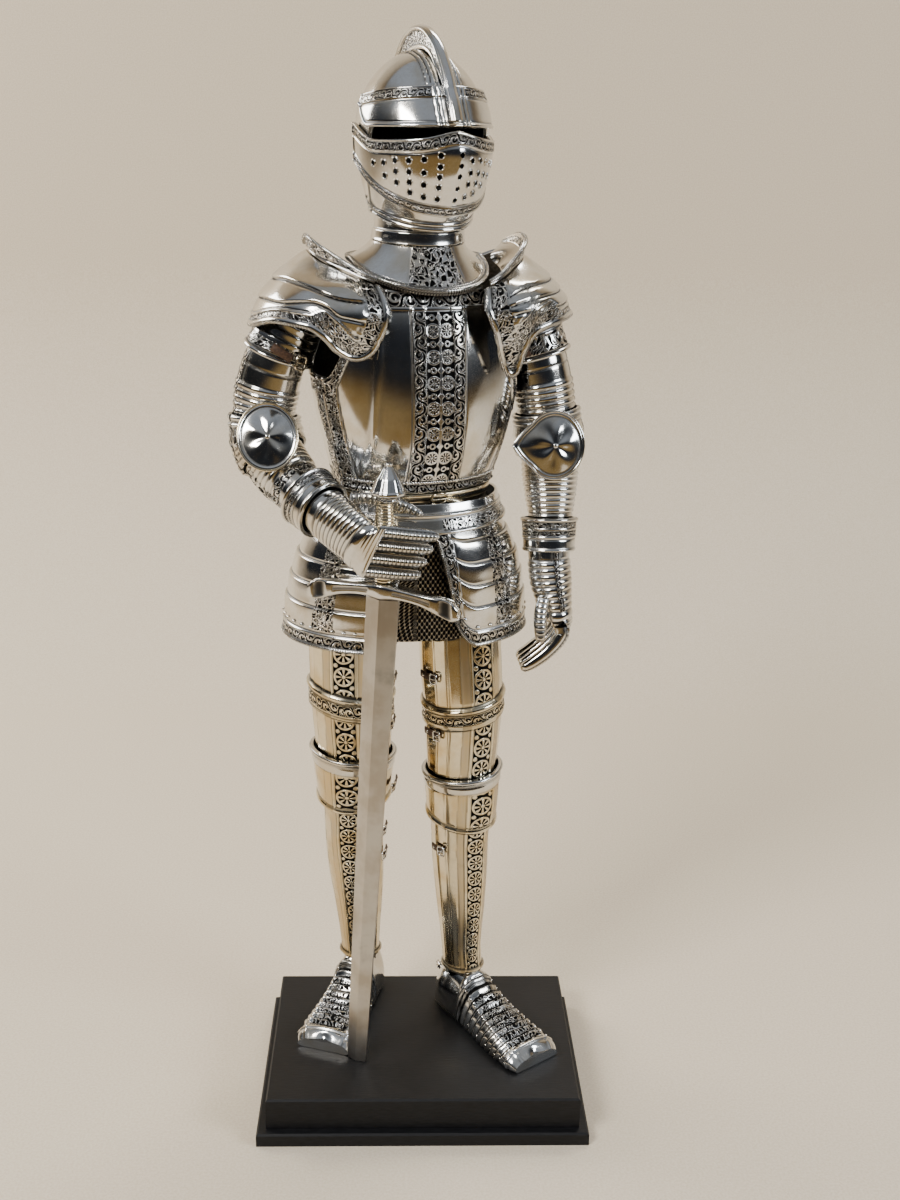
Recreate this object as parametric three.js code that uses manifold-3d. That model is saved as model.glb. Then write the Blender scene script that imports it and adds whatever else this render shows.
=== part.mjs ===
// Statuette of a suit of plate armour leaning its right gauntlet on a sword, on a stepped plinth.
// Millimetres, +Z up, the figure faces -Y. The origin is the middle of the plinth's underside.
// Every plate is a hollow wall; plates that lie on each other share one form and differ in lift.

import * as THREE from 'three'
import Module from 'manifold-3d'
import { mergeVertices } from 'three/addons/utils/BufferGeometryUtils.js'

const wasm = await Module()
wasm.setup()

// Driving dimensions
const gap = 0.3                 // clearance between neighbouring pieces
const plateWall = 1.3           // thickness of a steel plate
const mailWall = 1.2            // thickness of the mail
const headTurn = 23             // degrees that the helmet looks towards +X
const chestTurn = 18            // the same for the cuirass
const hipTurn = 8               // the same for the skirt and the tassets
const plinth = { wide: 135, deep: 95, tall: 20.5, ledge: 4, ledgeTall: 6, edge: 0.8 }
const soleTop = plinth.tall + gap

// Materials
const finish = (color, metalness, roughness) =>
  new THREE.MeshStandardMaterial({ color, metalness, roughness })
const silver = finish('#b9b6ae', 1, 0.2)
const mail = finish('#6f6a60', 1, 0.45)
const bladeSteel = finish('#9a9790', 1, 0.35)
const lacquer = finish('#0d0d10', 0, 0.45)

const figure = new THREE.Group()
function add(name, geometry, material = silver) {
  const mesh = new THREE.Mesh(geometry, material)
  mesh.name = name
  figure.add(mesh)
  return mesh
}

// A short table with named columns becomes a list of rows
const table = (columns, rows) =>
  rows.map(row => Object.fromEntries(columns.split(' ').map((name, i) => [name, row[i]])))

// Smooth reading of one column at station s, straight beyond the first and last rows
function read(rows, name, s) {
  const last = rows.length - 1
  let i = 0
  while (i < last - 1 && rows[i + 1].at <= s) i++
  const slope = k => {
    const lo = rows[Math.max(0, k - 1)], hi = rows[Math.min(last, k + 1)]
    return (hi[name] - lo[name]) / (hi.at - lo.at)
  }
  if (s <= rows[0].at) return rows[0][name] + slope(0) * (s - rows[0].at)
  if (s >= rows[last].at) return rows[last][name] + slope(last) * (s - rows[last].at)
  const a = rows[i], b = rows[i + 1], h = b.at - a.at, t = (s - a.at) / h
  return a[name] * (1 + 2 * t) * (1 - t) ** 2 + b[name] * t * t * (3 - 2 * t)
    + slope(i) * h * t * (1 - t) ** 2 - slope(i + 1) * h * t * t * (1 - t)
}

// A form is a stack of rings. A ring's angle is 0 at its front and grows to the figure's left.
// Columns: at, x, y, side, front, back, and where they are needed z, keel, dip.
// Rings lie level, at their station's height, or square to the line of their centres (bent).
function makeForm(columns, rows, { turn = 0, bent = false, faces = null, square = 2, left = 1 } = {}) {
  const stations = table(columns, rows)
  const has = name => name in stations[0]
  const centre = s => new THREE.Vector3(read(stations, 'x', s), read(stations, 'y', s),
    has('z') ? read(stations, 'z', s) : s)
  const psi = THREE.MathUtils.degToRad(turn)
  const ahead = faces ? new THREE.Vector3(...faces).normalize()
    : new THREE.Vector3(Math.sin(psi), -Math.cos(psi), 0)
  function base(s, degrees) {
    const a = THREE.MathUtils.degToRad(degrees)
    const up = bent ? centre(s + 1).sub(centre(s - 1)).normalize() : new THREE.Vector3(0, 0, 1)
    const front = ahead.clone().addScaledVector(up, -ahead.dot(up)).normalize()
    const across = new THREE.Vector3().crossVectors(up, front).multiplyScalar(left)
    const c = Math.cos(a), n = Math.sin(a)
    const deep = read(stations, c >= 0 ? 'front' : 'back', s)
    const r = 1 / (Math.abs(c / deep) ** square + Math.abs(n / read(stations, 'side', s)) ** square) ** (1 / square)
    const off = Math.abs(((degrees % 360) + 540) % 360 - 180)
    const keel = has('keel') ? read(stations, 'keel', s) * Math.max(0, 1 - off / 45) : 0
    const point = centre(s).addScaledVector(front, (r + keel) * c).addScaledVector(across, (r + keel) * n)
    if (has('dip')) point.z -= read(stations, 'dip', s) * Math.max(0, c)
    return point
  }
  function at(s, degrees, lift = 0) {
    const round = base(s, degrees + 1).sub(base(s, degrees - 1))
    const rise = base(s + 0.3, degrees).sub(base(s - 0.3, degrees))
    const out = round.cross(rise).normalize().multiplyScalar(left)
    return base(s, degrees).addScaledVector(out, lift)
  }
  return { at, centre }
}

// One closed body from its points and faces, with its faces turned out
function body(points, faces) {
  let volume = 0
  for (const [a, b, c] of faces) {
    volume += points[a].dot(new THREE.Vector3().crossVectors(points[b], points[c]))
  }
  const index = faces.flatMap(([a, b, c]) => (volume > 0 ? [a, b, c] : [a, c, b]))
  const geometry = new THREE.BufferGeometry()
  geometry.setAttribute('position', new THREE.Float32BufferAttribute(points.flatMap(p => p.toArray()), 3))
  geometry.setIndex(index)
  return geometry
}

const steps = (from, to, count) => Array.from({ length: count }, (_, i) => from + (to - from) * i / (count - 1))
const smooth = t => THREE.MathUtils.smoothstep(t, 0, 1)
const value = (v, ...args) => (typeof v === 'function' ? v(...args) : v)

// A wall on a form. u runs round it from 0 to 1, v up it from 0 to 1.
// profile holds [v, lift] for each row of the outer face; the inner face is plain.
function plate(form, spec) {
  const { from, to, span = [0, 360], columns = 20, profile = [[0, 0], [1, 0]], lift = 0, wall = plateWall } = spec
  const relief = spec.relief ?? (() => 0)
  const whole = !spec.span
  const us = Array.isArray(columns) ? columns : steps(0, 1, columns + 1)
  const round = whole ? us.slice(0, -1) : us
  const place = (u, v, height) => {
    const [a0, a1] = value(span, v)
    const s0 = value(from, u), s1 = value(to, u)
    return form.at(s0 + (s1 - s0) * v, a0 + (a1 - a0) * u, height)
  }
  // The plain inner face takes only some of the outer rows: those nearest to even heights
  const wanted = steps(0, 1, spec.innerRows ?? 3)
  const kept = [...new Set(wanted.map(t => profile.reduce((best, row, i) =>
    (Math.abs(row[0] - t) < Math.abs(profile[best][0] - t) ? i : best), t === 1 ? profile.length - 1 : 0)))]
  const outer = profile.map(([v, h]) => round.map(u => place(u, v, lift + h + relief(u, v))))
  const inner = kept.map(i => round.map(u => place(u, profile[i][0], lift - value(wall, u, profile[i][0]))))
  return wallBody(outer, inner, whole, { kept, cap: spec.cap })
}

// outer and inner are rings of points, from the lowest up; kept says which outer ring each inner one faces
function wallBody(outer, inner, whole, { kept, cap = false }) {
  const n = outer[0].length
  const points = [...outer.flat(), ...inner.flat()]
  const o = (i, j) => i * n + (j % n)
  const k = (i, j) => (outer.length + i) * n + (j % n)
  const faces = []
  const quad = (a, b, c, d) => faces.push([a, b, c], [a, c, d])
  const wrap = whole ? n : n - 1
  const top = outer.length - 1, inTop = inner.length - 1
  for (let j = 0; j < wrap; j++) {
    for (let i = 0; i < top; i++) quad(o(i, j), o(i, j + 1), o(i + 1, j + 1), o(i + 1, j))
    for (let i = 0; i < inTop; i++) quad(k(i, j), k(i + 1, j), k(i + 1, j + 1), k(i, j + 1))
    quad(o(0, j), k(0, j), k(0, j + 1), o(0, j + 1))
    if (!cap) quad(o(top, j), o(top, j + 1), k(inTop, j + 1), k(inTop, j))
  }
  for (let i = 0; !whole && i < inTop; i++) {
    for (let m = kept[i]; m < kept[i + 1]; m++) {
      faces.push([o(m, 0), o(m + 1, 0), k(i, 0)], [o(m, n - 1), k(i, n - 1), o(m + 1, n - 1)])
    }
    faces.push([o(kept[i + 1], 0), k(i + 1, 0), k(i, 0)])
    faces.push([o(kept[i + 1], n - 1), k(i, n - 1), k(i + 1, n - 1)])
  }
  if (cap) {
    const middle = ring => ring.reduce((sum, p) => sum.add(p), new THREE.Vector3()).divideScalar(ring.length)
    points.push(middle(outer[top]), middle(inner[inTop]))
    for (let j = 0; j < n; j++) {
      faces.push([o(top, j), o(top, j + 1), points.length - 2])
      faces.push([k(inTop, j + 1), k(inTop, j), points.length - 1])
    }
  }
  return body(points, faces)
}

// A bar through a row of like sections, closed at both ends
function loft(sections) {
  const n = sections[0].length
  const points = sections.flat()
  const faces = []
  for (let i = 0; i < sections.length - 1; i++) {
    for (let j = 0; j < n; j++) {
      const a = i * n + j, b = i * n + (j + 1) % n
      faces.push([a, b, b + n], [a, b + n, a + n])
    }
  }
  for (const [base, flip] of [[0, true], [(sections.length - 1) * n, false]]) {
    for (let j = 1; j < n - 1; j++) {
      faces.push(flip ? [base, base + j + 1, base + j] : [base, base + j, base + j + 1])
    }
  }
  return body(points, faces)
}

// Lames: each rises to its upper edge, which lies over the lame above
const lames = (count, rise) =>
  Array.from({ length: count }, (_, i) => [[(i + 0.02) / count, 0], [(i + 1) / count, rise]]).flat()
    .map(([v, h], i, all) => [i === 0 ? 0 : i === all.length - 1 ? 1 : v, h])

// A rounded bar along a line of points, for fingers, thumbs, straps and spurs
function bar(columns, rows, sides = 8, flat = [0, 0, 1]) {
  const stations = table(columns, rows)
  const spots = stations.map(r => new THREE.Vector3(r.x, r.y, r.z))
  return loft(stations.map((r, i) => {
    const ahead = spots[Math.min(i + 1, spots.length - 1)].clone().sub(spots[Math.max(i - 1, 0)]).normalize()
    const up = new THREE.Vector3(...flat)
    up.addScaledVector(ahead, -up.dot(ahead)).normalize()
    const across = new THREE.Vector3().crossVectors(ahead, up)
    return steps(0, 2 * Math.PI, sides + 1).slice(0, -1).map(t => spots[i].clone()
      .addScaledVector(up, r.tall * Math.sin(t + Math.PI / sides))
      .addScaledVector(across, r.wide * Math.cos(t + Math.PI / sides)))
  }))
}

// Plinth: a slab on a ledge, both with eased edges
function buildPlinth() {
  const { wide, deep, tall, ledge, ledgeTall, edge } = plinth
  const section = (z, inset) => {
    const w = wide / 2 + ledge - inset, d = deep / 2 + ledge - inset
    return [[-w, -d], [w, -d], [w, d], [-w, d]].map(([x, y]) => new THREE.Vector3(x, y, z))
  }
  add('plinth', loft([
    section(0, 0), section(ledgeTall - edge, 0), section(ledgeTall, edge), section(ledgeTall, ledge),
    section(tall - edge, ledge), section(tall, ledge + edge),
  ]), lacquer)
}

// Sword, its point on the plinth, its guard turned towards the figure's left front
const sword = {
  foot: [-29.3, -19, soleTop], cross: [-18.6, -22.5, 238.3], bladeTurn: 28, guardTurn: 19,
  gripFoot: 245.6, gripTop: 277.4, gripRadius: 3.7, pommelTop: 293.6, pommelRadius: 7,
}

function buildSword() {
  const along = t => new THREE.Vector3(...sword.foot).lerp(new THREE.Vector3(...sword.cross), t)
  const blade = table('at half thick', [
    [0, 4.2, 1.6], [0.015, 4.7, 2], [0.5, 5.9, 2.6], [0.93, 7.2, 3.2], [1, 7.2, 3.2],
  ])
  const turned = (degrees) => {
    const a = THREE.MathUtils.degToRad(degrees)
    return [new THREE.Vector3(Math.cos(a), -Math.sin(a), 0), new THREE.Vector3(-Math.sin(a), -Math.cos(a), 0)]
  }
  const [edge, face] = turned(sword.bladeTurn)
  add('sword_blade', loft(blade.map(r => {
    const rim = 0.5
    return [[r.half, -rim], [r.half, rim], [0, r.thick], [-r.half, rim], [-r.half, -rim], [0, -r.thick]]
      .map(([x, y]) => along(r.at).addScaledVector(edge, x).addScaledVector(face, y))
  })), bladeSteel)

  const [arm, front] = turned(sword.guardTurn)
  // The arms of the guard droop and end in broad leaves; it leans with the blade
  const armLength = 31.5, droop = 5.2, leaning = 0.05
  const guard = table('at tall thick', [
    [-1, 2.2, 2], [-0.93, 3.9, 2.5], [-0.75, 3.7, 2.8], [-0.5, 2.5, 3], [-0.2, 2.5, 3.6], [0, 3.3, 4.4],
    [0.2, 2.5, 3.6], [0.5, 2.5, 3], [0.75, 3.7, 2.8], [0.93, 3.9, 2.5], [1, 2.2, 2],
  ])
  const middle = new THREE.Vector3(sword.cross[0], sword.cross[1], (sword.cross[2] + sword.gripFoot) / 2)
  const corners = [[-1, -0.7], [-1, 0.7], [-0.6, 1], [0.6, 1], [1, 0.7], [1, -0.7], [0.6, -1], [-0.6, -1]]
  add('sword_guard', loft(guard.map(r => corners.map(([d, h]) => middle.clone()
    .addScaledVector(arm, r.at * armLength).addScaledVector(front, d * r.thick)
    .add(new THREE.Vector3(0, 0, h * r.tall - droop * r.at ** 2 - leaning * armLength * r.at))))))

  const turnedPiece = (name, outline, x, y) => {
    const points = outline.map(([r, z]) => new THREE.Vector2(r, z))
    const lathe = new THREE.LatheGeometry(points, 12)
    lathe.rotateX(Math.PI / 2)
    lathe.deleteAttribute('normal')
    lathe.deleteAttribute('uv')
    lathe.translate(x, y, 0)
    add(name, clean(mergeVertices(lathe, 1e-4)))
  }
  const { gripFoot: g0, gripTop: g1, gripRadius: r, pommelTop: p1, pommelRadius: pr } = sword
  const bulge = 0.5
  turnedPiece('sword_grip', [[0, g0], [r, g0], [r + bulge, (g0 + g1) / 2], [r - bulge, g1], [0, g1]], -18, -22.5)
  const p0 = g1 + gap
  turnedPiece('sword_pommel', [[0, p0], [3.2, p0], [3.6, p0 + 1.6], [pr, p0 + 3.2], [pr, p0 + 4.6],
    [4.6, p0 + 9.5], [2.2, p0 + 13], [1.4, p0 + 14.2], [1.7, p0 + 15.2], [0, p1]], -16.6, -22.6)
}

// Faces that have lost their area are dropped and the body is turned out again
function clean(geometry) {
  const position = geometry.getAttribute('position')
  const points = Array.from({ length: position.count }, (_, i) => new THREE.Vector3().fromBufferAttribute(position, i))
  const faces = []
  for (let i = 0; i < geometry.index.count; i += 3) {
    const face = [0, 1, 2].map(j => geometry.index.getX(i + j))
    if (new Set(face).size === 3) faces.push(face)
  }
  return body(points, faces)
}

// Sabatons: a broad-toed hollow shoe with its ankle open
const feet = {
  R: { ankle: [-29, 33], turn: -19, length: 62 },
  L: { ankle: [19, 20], turn: 36, length: 67 },
}
const heelToAnkle = 13.5
const shoeRows = table('at half tall', [
  [0, 5, 12], [0.03, 7, 18], [0.1, 8.8, 23.4], [0.2, 9.3, 24.4], [0.32, 9.3, 23.4], [0.42, 9.7, 18.6],
  [0.55, 10.8, 14.2], [0.7, 12.1, 11], [0.85, 13, 9], [0.95, 13, 7.6], [1, 11.6, 5],
])

function buildFoot(name) {
  const { ankle, turn, length } = feet[name]
  const a = THREE.MathUtils.degToRad(turn)
  const ahead = new THREE.Vector3(Math.sin(a), -Math.cos(a), 0)
  const across = new THREE.Vector3(Math.cos(a), Math.sin(a), 0)
  const heel = new THREE.Vector3(ankle[0], ankle[1], soleTop).addScaledVector(ahead, -heelToAnkle)
  const outline = [[-0.86, 0], [0.86, 0], [1, 0.12], [0.98, 0.5], [0.74, 0.84], [0.36, 1], [-0.36, 1],
    [-0.74, 0.84], [-0.98, 0.5], [-1, 0.12]]
  const shoe = (inset, first, last) => loft(shoeRows.filter((r, i) => i >= first && i <= last).map(r =>
    outline.map(([x, z]) => heel.clone().addScaledVector(ahead, r.at * length)
      .addScaledVector(across, x * (r.half - inset))
      .add(new THREE.Vector3(0, 0, inset + z * (r.tall - 2 * inset))))))
  const collar = new THREE.CylinderGeometry(7.2, 6.6, 16, 14)
  collar.rotateX(Math.PI / 2)
  collar.translate(ankle[0], ankle[1], soleTop + 20)
  collar.deleteAttribute('normal')
  collar.deleteAttribute('uv')
  const solid = toManifold(shoe(0, 0, 10)).subtract(toManifold(shoe(1.6, 2, 9)))
    .subtract(toManifold(mergeVertices(collar, 1e-4)))
  add(`sabaton_${name}`, fromManifold(solid))
  const spurRoot = new THREE.Vector3(ankle[0], ankle[1], soleTop + 13.5)
  const out = s => spurRoot.clone().addScaledVector(ahead, -s).toArray()
  add(`spur_${name}`, bar('x y z tall wide', [
    [...out(heelToAnkle + 0.5), 1.3, 1.3], [...out(heelToAnkle + 2.5), 1, 1],
    [...out(heelToAnkle + 3), 2.2, 0.7], [...out(heelToAnkle + 5.5), 2.2, 0.7],
    [...out(heelToAnkle + 6.5), 0.8, 0.6],
  ], 6))
}

function toManifold(geometry) {
  return new wasm.Manifold(new wasm.Mesh({
    numProp: 3,
    vertProperties: Float32Array.from(geometry.getAttribute('position').array),
    triVerts: Uint32Array.from(geometry.index.array),
  }))
}

function fromManifold(solid) {
  const mesh = solid.getMesh()
  const geometry = new THREE.BufferGeometry()
  geometry.setAttribute('position', new THREE.Float32BufferAttribute(mesh.vertProperties, 3))
  geometry.setIndex(Array.from(mesh.triVerts))
  return geometry
}

// Legs: greave, poleyn and cuisse on one form each
const ankleTop = soleTop + 23.6
const legs = {
  R: makeForm('at x y side front back keel', [
    [42, -29, 33, 9, 9.5, 10, 0], [52, -29.3, 32.8, 9.2, 9, 10.5, 0.3], [73, -30, 31.5, 11.2, 10.8, 14, 0.5],
    [90, -31, 30, 12.8, 12.4, 15.5, 0.5], [108, -31.8, 28.5, 13.4, 13.4, 14.5, 0.4],
    [125, -31.8, 27, 14, 14.6, 13, 0.3], [145, -31.8, 25.5, 16, 16, 15, 0.3],
    [178, -32.6, 24, 18, 18, 18, 0.4], [205, -32.8, 22.6, 18.6, 18.6, 19, 0.4], [222, -33.2, 21.7, 18.8, 19.4, 17.4, 0.2], [240, -32.4, 22, 17.4, 17.4, 17.4, 0],
  ], { turn: -8 }),
  L: makeForm('at x y side front back keel', [
    [42, 19, 20, 9, 9.5, 10, 0], [57, 18.1, 20, 9, 9, 10.5, 0.3], [78, 17.6, 19.5, 10.8, 10.6, 13.5, 0.5],
    [98, 16.9, 19, 12.2, 12, 15, 0.5], [114, 16.3, 18.5, 12.8, 13, 14.2, 0.4],
    [129, 16.2, 18, 13.8, 14.4, 13, 0.3], [148, 16, 18, 15.2, 15.6, 14.6, 0.3],
    [177, 16, 19, 17.2, 17.4, 17.4, 0.4], [201, 14.6, 20.5, 17.8, 17.8, 18.2, 0.4], [240, 13, 22, 16.6, 16.6, 17.4, 0],
  ], { turn: 30 }),
}

// Heights of the knee plate and of the raised band on the thigh
const knees = {
  R: { foot: 126.5, top: 153.5, bandFoot: 173, bandTop: 184 },
  L: { foot: 120.5, top: 148, bandFoot: 172.5, bandTop: 182 },
}

function buildLeg(name) {
  const form = legs[name]
  const { foot, top, bandFoot, bandTop } = knees[name]
  // The thigh plate slants, higher on its outer side
  const slant = u => (name === 'R' ? -3 : 3) * Math.sin(2 * Math.PI * u)
  const frontness = u => Math.max(0, Math.cos(2 * Math.PI * u))
  const thighFoot = top - 7, thighTop = 227
  const height = z => (z - thighFoot) / (thighTop - thighFoot)
  add(`greave_${name}`, plate(form, {
    from: ankleTop + gap, to: foot + 11, columns: 16, innerRows: 4,
    profile: [[0, 1], [0.02, 0.9], [0.045, 0.1], [0.25, 0], [0.5, 0], [0.75, 0], [1, 0]],
  }))
  add(`poleyn_${name}`, plate(form, {
    from: u => foot + 3.5 - 3.5 * Math.cos(2 * Math.PI * u), to: u => top + slant(u) / 2, columns: 16,
    lift: 1.9, wall: 1.3,
    profile: [[0, 0.4], [0.06, 0.4], [0.12, 0], [0.34, 0.2], [0.6, 0.2], [0.8, 0], [0.93, 0], [0.95, 0.5], [1, 0.4]],
    relief: (u, v) => frontness(u) ** 2 * Math.sin(Math.PI * v),
  }))
  add(`cuisse_${name}`, plate(form, {
    from: u => thighFoot + slant(u), to: u => thighTop + slant(u), columns: 16, innerRows: 4,
    profile: [[0, 0], [height(bandFoot - 0.8), 0], [height(bandFoot), 0.5], [height(bandTop - 2.8), 0.5],
      [height(bandTop - 2.2), 1.1], [height(bandTop), 1], [height(bandTop + 0.8), 0], [0.76, 0], [1, 0]],
  }))
}

// Skirt of mail, tassets, culet and fauld on the hips
const hipColumns = 'at x y side front back'
const skirtForm = makeForm(hipColumns, [
  [206, -9.6, 22, 48.2, 33.4, 31], [222, -9.4, 22, 47.2, 33, 30.5], [240, -9, 22, 44, 31.5, 29],
  [252, -8.6, 22, 39.5, 29, 27], [262, -8.4, 22, 35, 26, 24.5], [272, -8.2, 22, 31.6, 23.4, 21.6],
], { turn: hipTurn })
const tassetForm = makeForm(hipColumns, [
  [203, -9.8, 22, 52.6, 38.4, 35], [216, -9.6, 22, 51.8, 38, 34.6], [228, -9.3, 22, 50.4, 37.2, 34],
  [240, -9, 22, 48, 35.6, 32.6], [250, -8.6, 22, 44.4, 33.4, 30.6], [258, -8.4, 22, 40, 30.6, 28.4],
  [266, -8.3, 22, 36, 27.6, 25.4], [272, -8.2, 22, 34.2, 25.6, 23.8],
], { turn: hipTurn })

function buildHips() {
  add('mail_skirt', plate(skirtForm, {
    from: 215.8, to: 270, columns: 20, innerRows: 4, wall: mailWall,
    profile: [[0, 0.3], [0.03, 0.3], [0.05, 0], [0.3, 0], [0.55, 0], [0.8, 0], [1, 0]],
  }), mail)
  // A tasset's free edge falls from the middle of the waist towards its thigh
  const tasset = (outerEdge, topEdge, footEdge, foot) => {
    const corner = u => foot + 12 * Math.max(0, (u - 0.8) / 0.2) ** 2 + 3 * Math.max(0, (0.08 - u) / 0.08) ** 2
    return plate(tassetForm, {
      from: corner, to: 265,
      span: v => [outerEdge, footEdge + (topEdge - footEdge) * v ** 1.4],
      columns: [0, 0.02, 0.16, 0.32, 0.48, 0.64, 0.78, 0.87, 0.94, 0.97, 0.98, 1],
      profile: [[0, 0.9], [0.02, 0.9], [0.035, 0.2], [0.1, 0.2], [0.115, 0.5], [0.13, 0.1],
        ...lames(4, 0.7).slice(1).map(([v, h]) => [0.15 + 0.85 * v, h])],
      relief: (u) => (u > 0.97 || u < 0.01 ? 0.4 : 0),
    })
  }
  add('tasset_R', tasset(-108, -9, -15, 211.5))
  add('tasset_L', tasset(104, 9, 23, 212.5))
  add('culet', plate(tassetForm, {
    from: u => 226 - 8 * Math.sin(Math.PI * u), to: 265, span: [107, 249], columns: 12, profile: lames(3, 0.7),
  }))
  add('fauld', plate(tassetForm, {
    from: u => 261 - 1.5 * Math.cos(2 * Math.PI * u), to: 271.4, columns: 20, lift: plateWall + 1 + gap, wall: 1.1, innerRows: 2,
    profile: [[0, 0.3], [0.1, 0.3], [0.14, 0], [0.55, 0.1], [0.6, 0.6], [0.68, -0.1], [1, -0.2]],
  }))
}

// Cuirass: breastplate and backplate on one form, with the waist belt below it
const chestForm = makeForm('at x y side front back keel', [
  [262, -8.2, 22, 34, 25, 24, 0], [270, -8, 22, 32.6, 23.6, 22, 0.2], [277, -7.6, 22, 33, 25, 22, 0.8],
  [284, -7.3, 22, 34.8, 28, 22.8, 1.4], [296, -7, 22, 38, 31.6, 24.6, 1.8], [310, -7, 22, 41.2, 32.6, 26.4, 1.6],
  [324, -7, 22, 42.8, 32.4, 27.4, 1.2], [338, -7, 22, 42, 31, 27.6, 0.8], [350, -7, 22, 38.5, 28.6, 26.4, 0.3],
  [358, -7, 22, 34, 24.8, 24, 0], [366, -7, 22, 28, 19, 20.5, 0],
], { turn: chestTurn, square: 2.15 })

// The left arm hangs closer to the ribs, so its armhole is cut lower
const ribTop = left => (left ? 313 : 322)

function buildCuirass() {
  // The armholes cut the sides of both plates away above the ribs
  const armhole = (u, high, rib, near, far) =>
    high - (high - rib) * smooth((Math.abs(2 * u - 1) - near) / (far - near))
  add('breastplate', plate(chestForm, {
    from: 276.6, to: u => armhole(u, 356.6, ribTop(u > 0.5), 0.56, 0.98), span: [-74, 74],
    columns: [0, 0.1, 0.115, 0.2, 0.3, 0.36, 0.375, 0.45, 0.5, 0.55, 0.625, 0.64, 0.7, 0.8, 0.885, 0.9, 1],
    innerRows: 5,
    profile: [[0, 1.6], [0.02, 1.5], [0.05, 0.4], [0.1, 0.3], [0.12, 0], [0.3, 0], [0.5, 0], [0.7, 0],
      [0.91, 0], [0.92, 0.4], [1, 0.6]],
    relief: (u, v) => (Math.abs(u - 0.5) < 0.13 ? 0.35 : 0) + (Math.abs(u - 0.5) > 0.39 ? 0.35 : 0),
  }))
  add('backplate', plate(chestForm, {
    from: 276.6, to: u => armhole(u, 361, ribTop(u < 0.5), 0.3, 0.8), span: [75, 285], columns: 18, innerRows: 4,
    profile: [[0, 1.4], [0.03, 1.3], [0.07, 0], [0.3, 0], [0.52, 0], [0.76, 0], [1, 0]],
  }))
  // The belt's buckle stands proud of the strap, just left of the middle
  add('waist_belt', plate(chestForm, {
    from: 271.9, to: 275.9, columns: [...steps(0, 0.04, 3), ...steps(0.045, 1, 22)], lift: 0.4, wall: 1.4,
    innerRows: 2, profile: [[0, 0.1], [0.2, 0.4], [0.8, 0.4], [1, 0.1]], relief: u => (u < 0.041 ? 0.9 : 0),
  }))
}

// Gorget: a flared collar that dips at the front
const neckForm = makeForm('at x y z side front back dip', [
  [0, -6.5, 20.5, 366.4, 28.4, 30.8, 26.4, 10.8], [5, -6.5, 20.5, 368.2, 24.8, 26.2, 23, 7.8],
  [10, -6.3, 20.5, 371, 20.6, 21.8, 20, 3.4], [14, -6, 20.3, 374, 18.2, 19, 18.2, 1.2],
  [20, -5.7, 20.2, 380, 16.8, 17.6, 17.2, 0.4], [26, -5.1, 20, 386.5, 16.4, 17.2, 16.8, 0.2],
], { turn: headTurn - 1 })

function buildNeck() {
  add('gorget', plate(neckForm, {
    from: 0, to: 13.4, columns: 20, wall: 1.2,
    profile: [[0, 0.5], [0.06, 0.7], [0.13, 0.5], [0.17, 0], [0.45, 0], [0.7, 0], [1, 0]],
    relief: (u, v) => (v > 0.16 && (u < 0.07 || u > 0.93) ? 0.3 : 0),
  }))
  add('neck_lames', plate(neckForm, {
    from: 13.4 + gap, to: 27, columns: 18, innerRows: 2, lift: 0.2, wall: 1.3, profile: lames(3, 0.7),
  }))
}

// Close helmet
const helmForm = makeForm('at x y side front back keel', [
  [374, -5, 20, 18.4, 19.8, 19, 0.3], [380, -5, 20, 18.9, 21.4, 19.4, 0.7], [386, -5, 20, 20.6, 24.2, 20.8, 1.2],
  [394, -5, 20, 22.6, 28, 23.6, 1.8],
  [402, -5, 20, 24.2, 30.6, 26, 2.4], [409, -5, 20, 25, 31.4, 27.6, 2.2], [416, -5, 20, 25, 29, 28.2, 1],
  [423, -5, 20, 23.8, 26, 27.4, 0.2], [430, -5, 20, 20.6, 22.6, 24.4, 0], [436, -5, 20, 16.2, 18, 19.6, 0],
  [440.5, -5, 20, 10.8, 12.4, 13.2, 0], [442.9, -5, 20, 5.4, 6.2, 6.6, 0], [443.6, -5, 20, 2, 2.2, 2.4, 0],
], { turn: headTurn })

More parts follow.
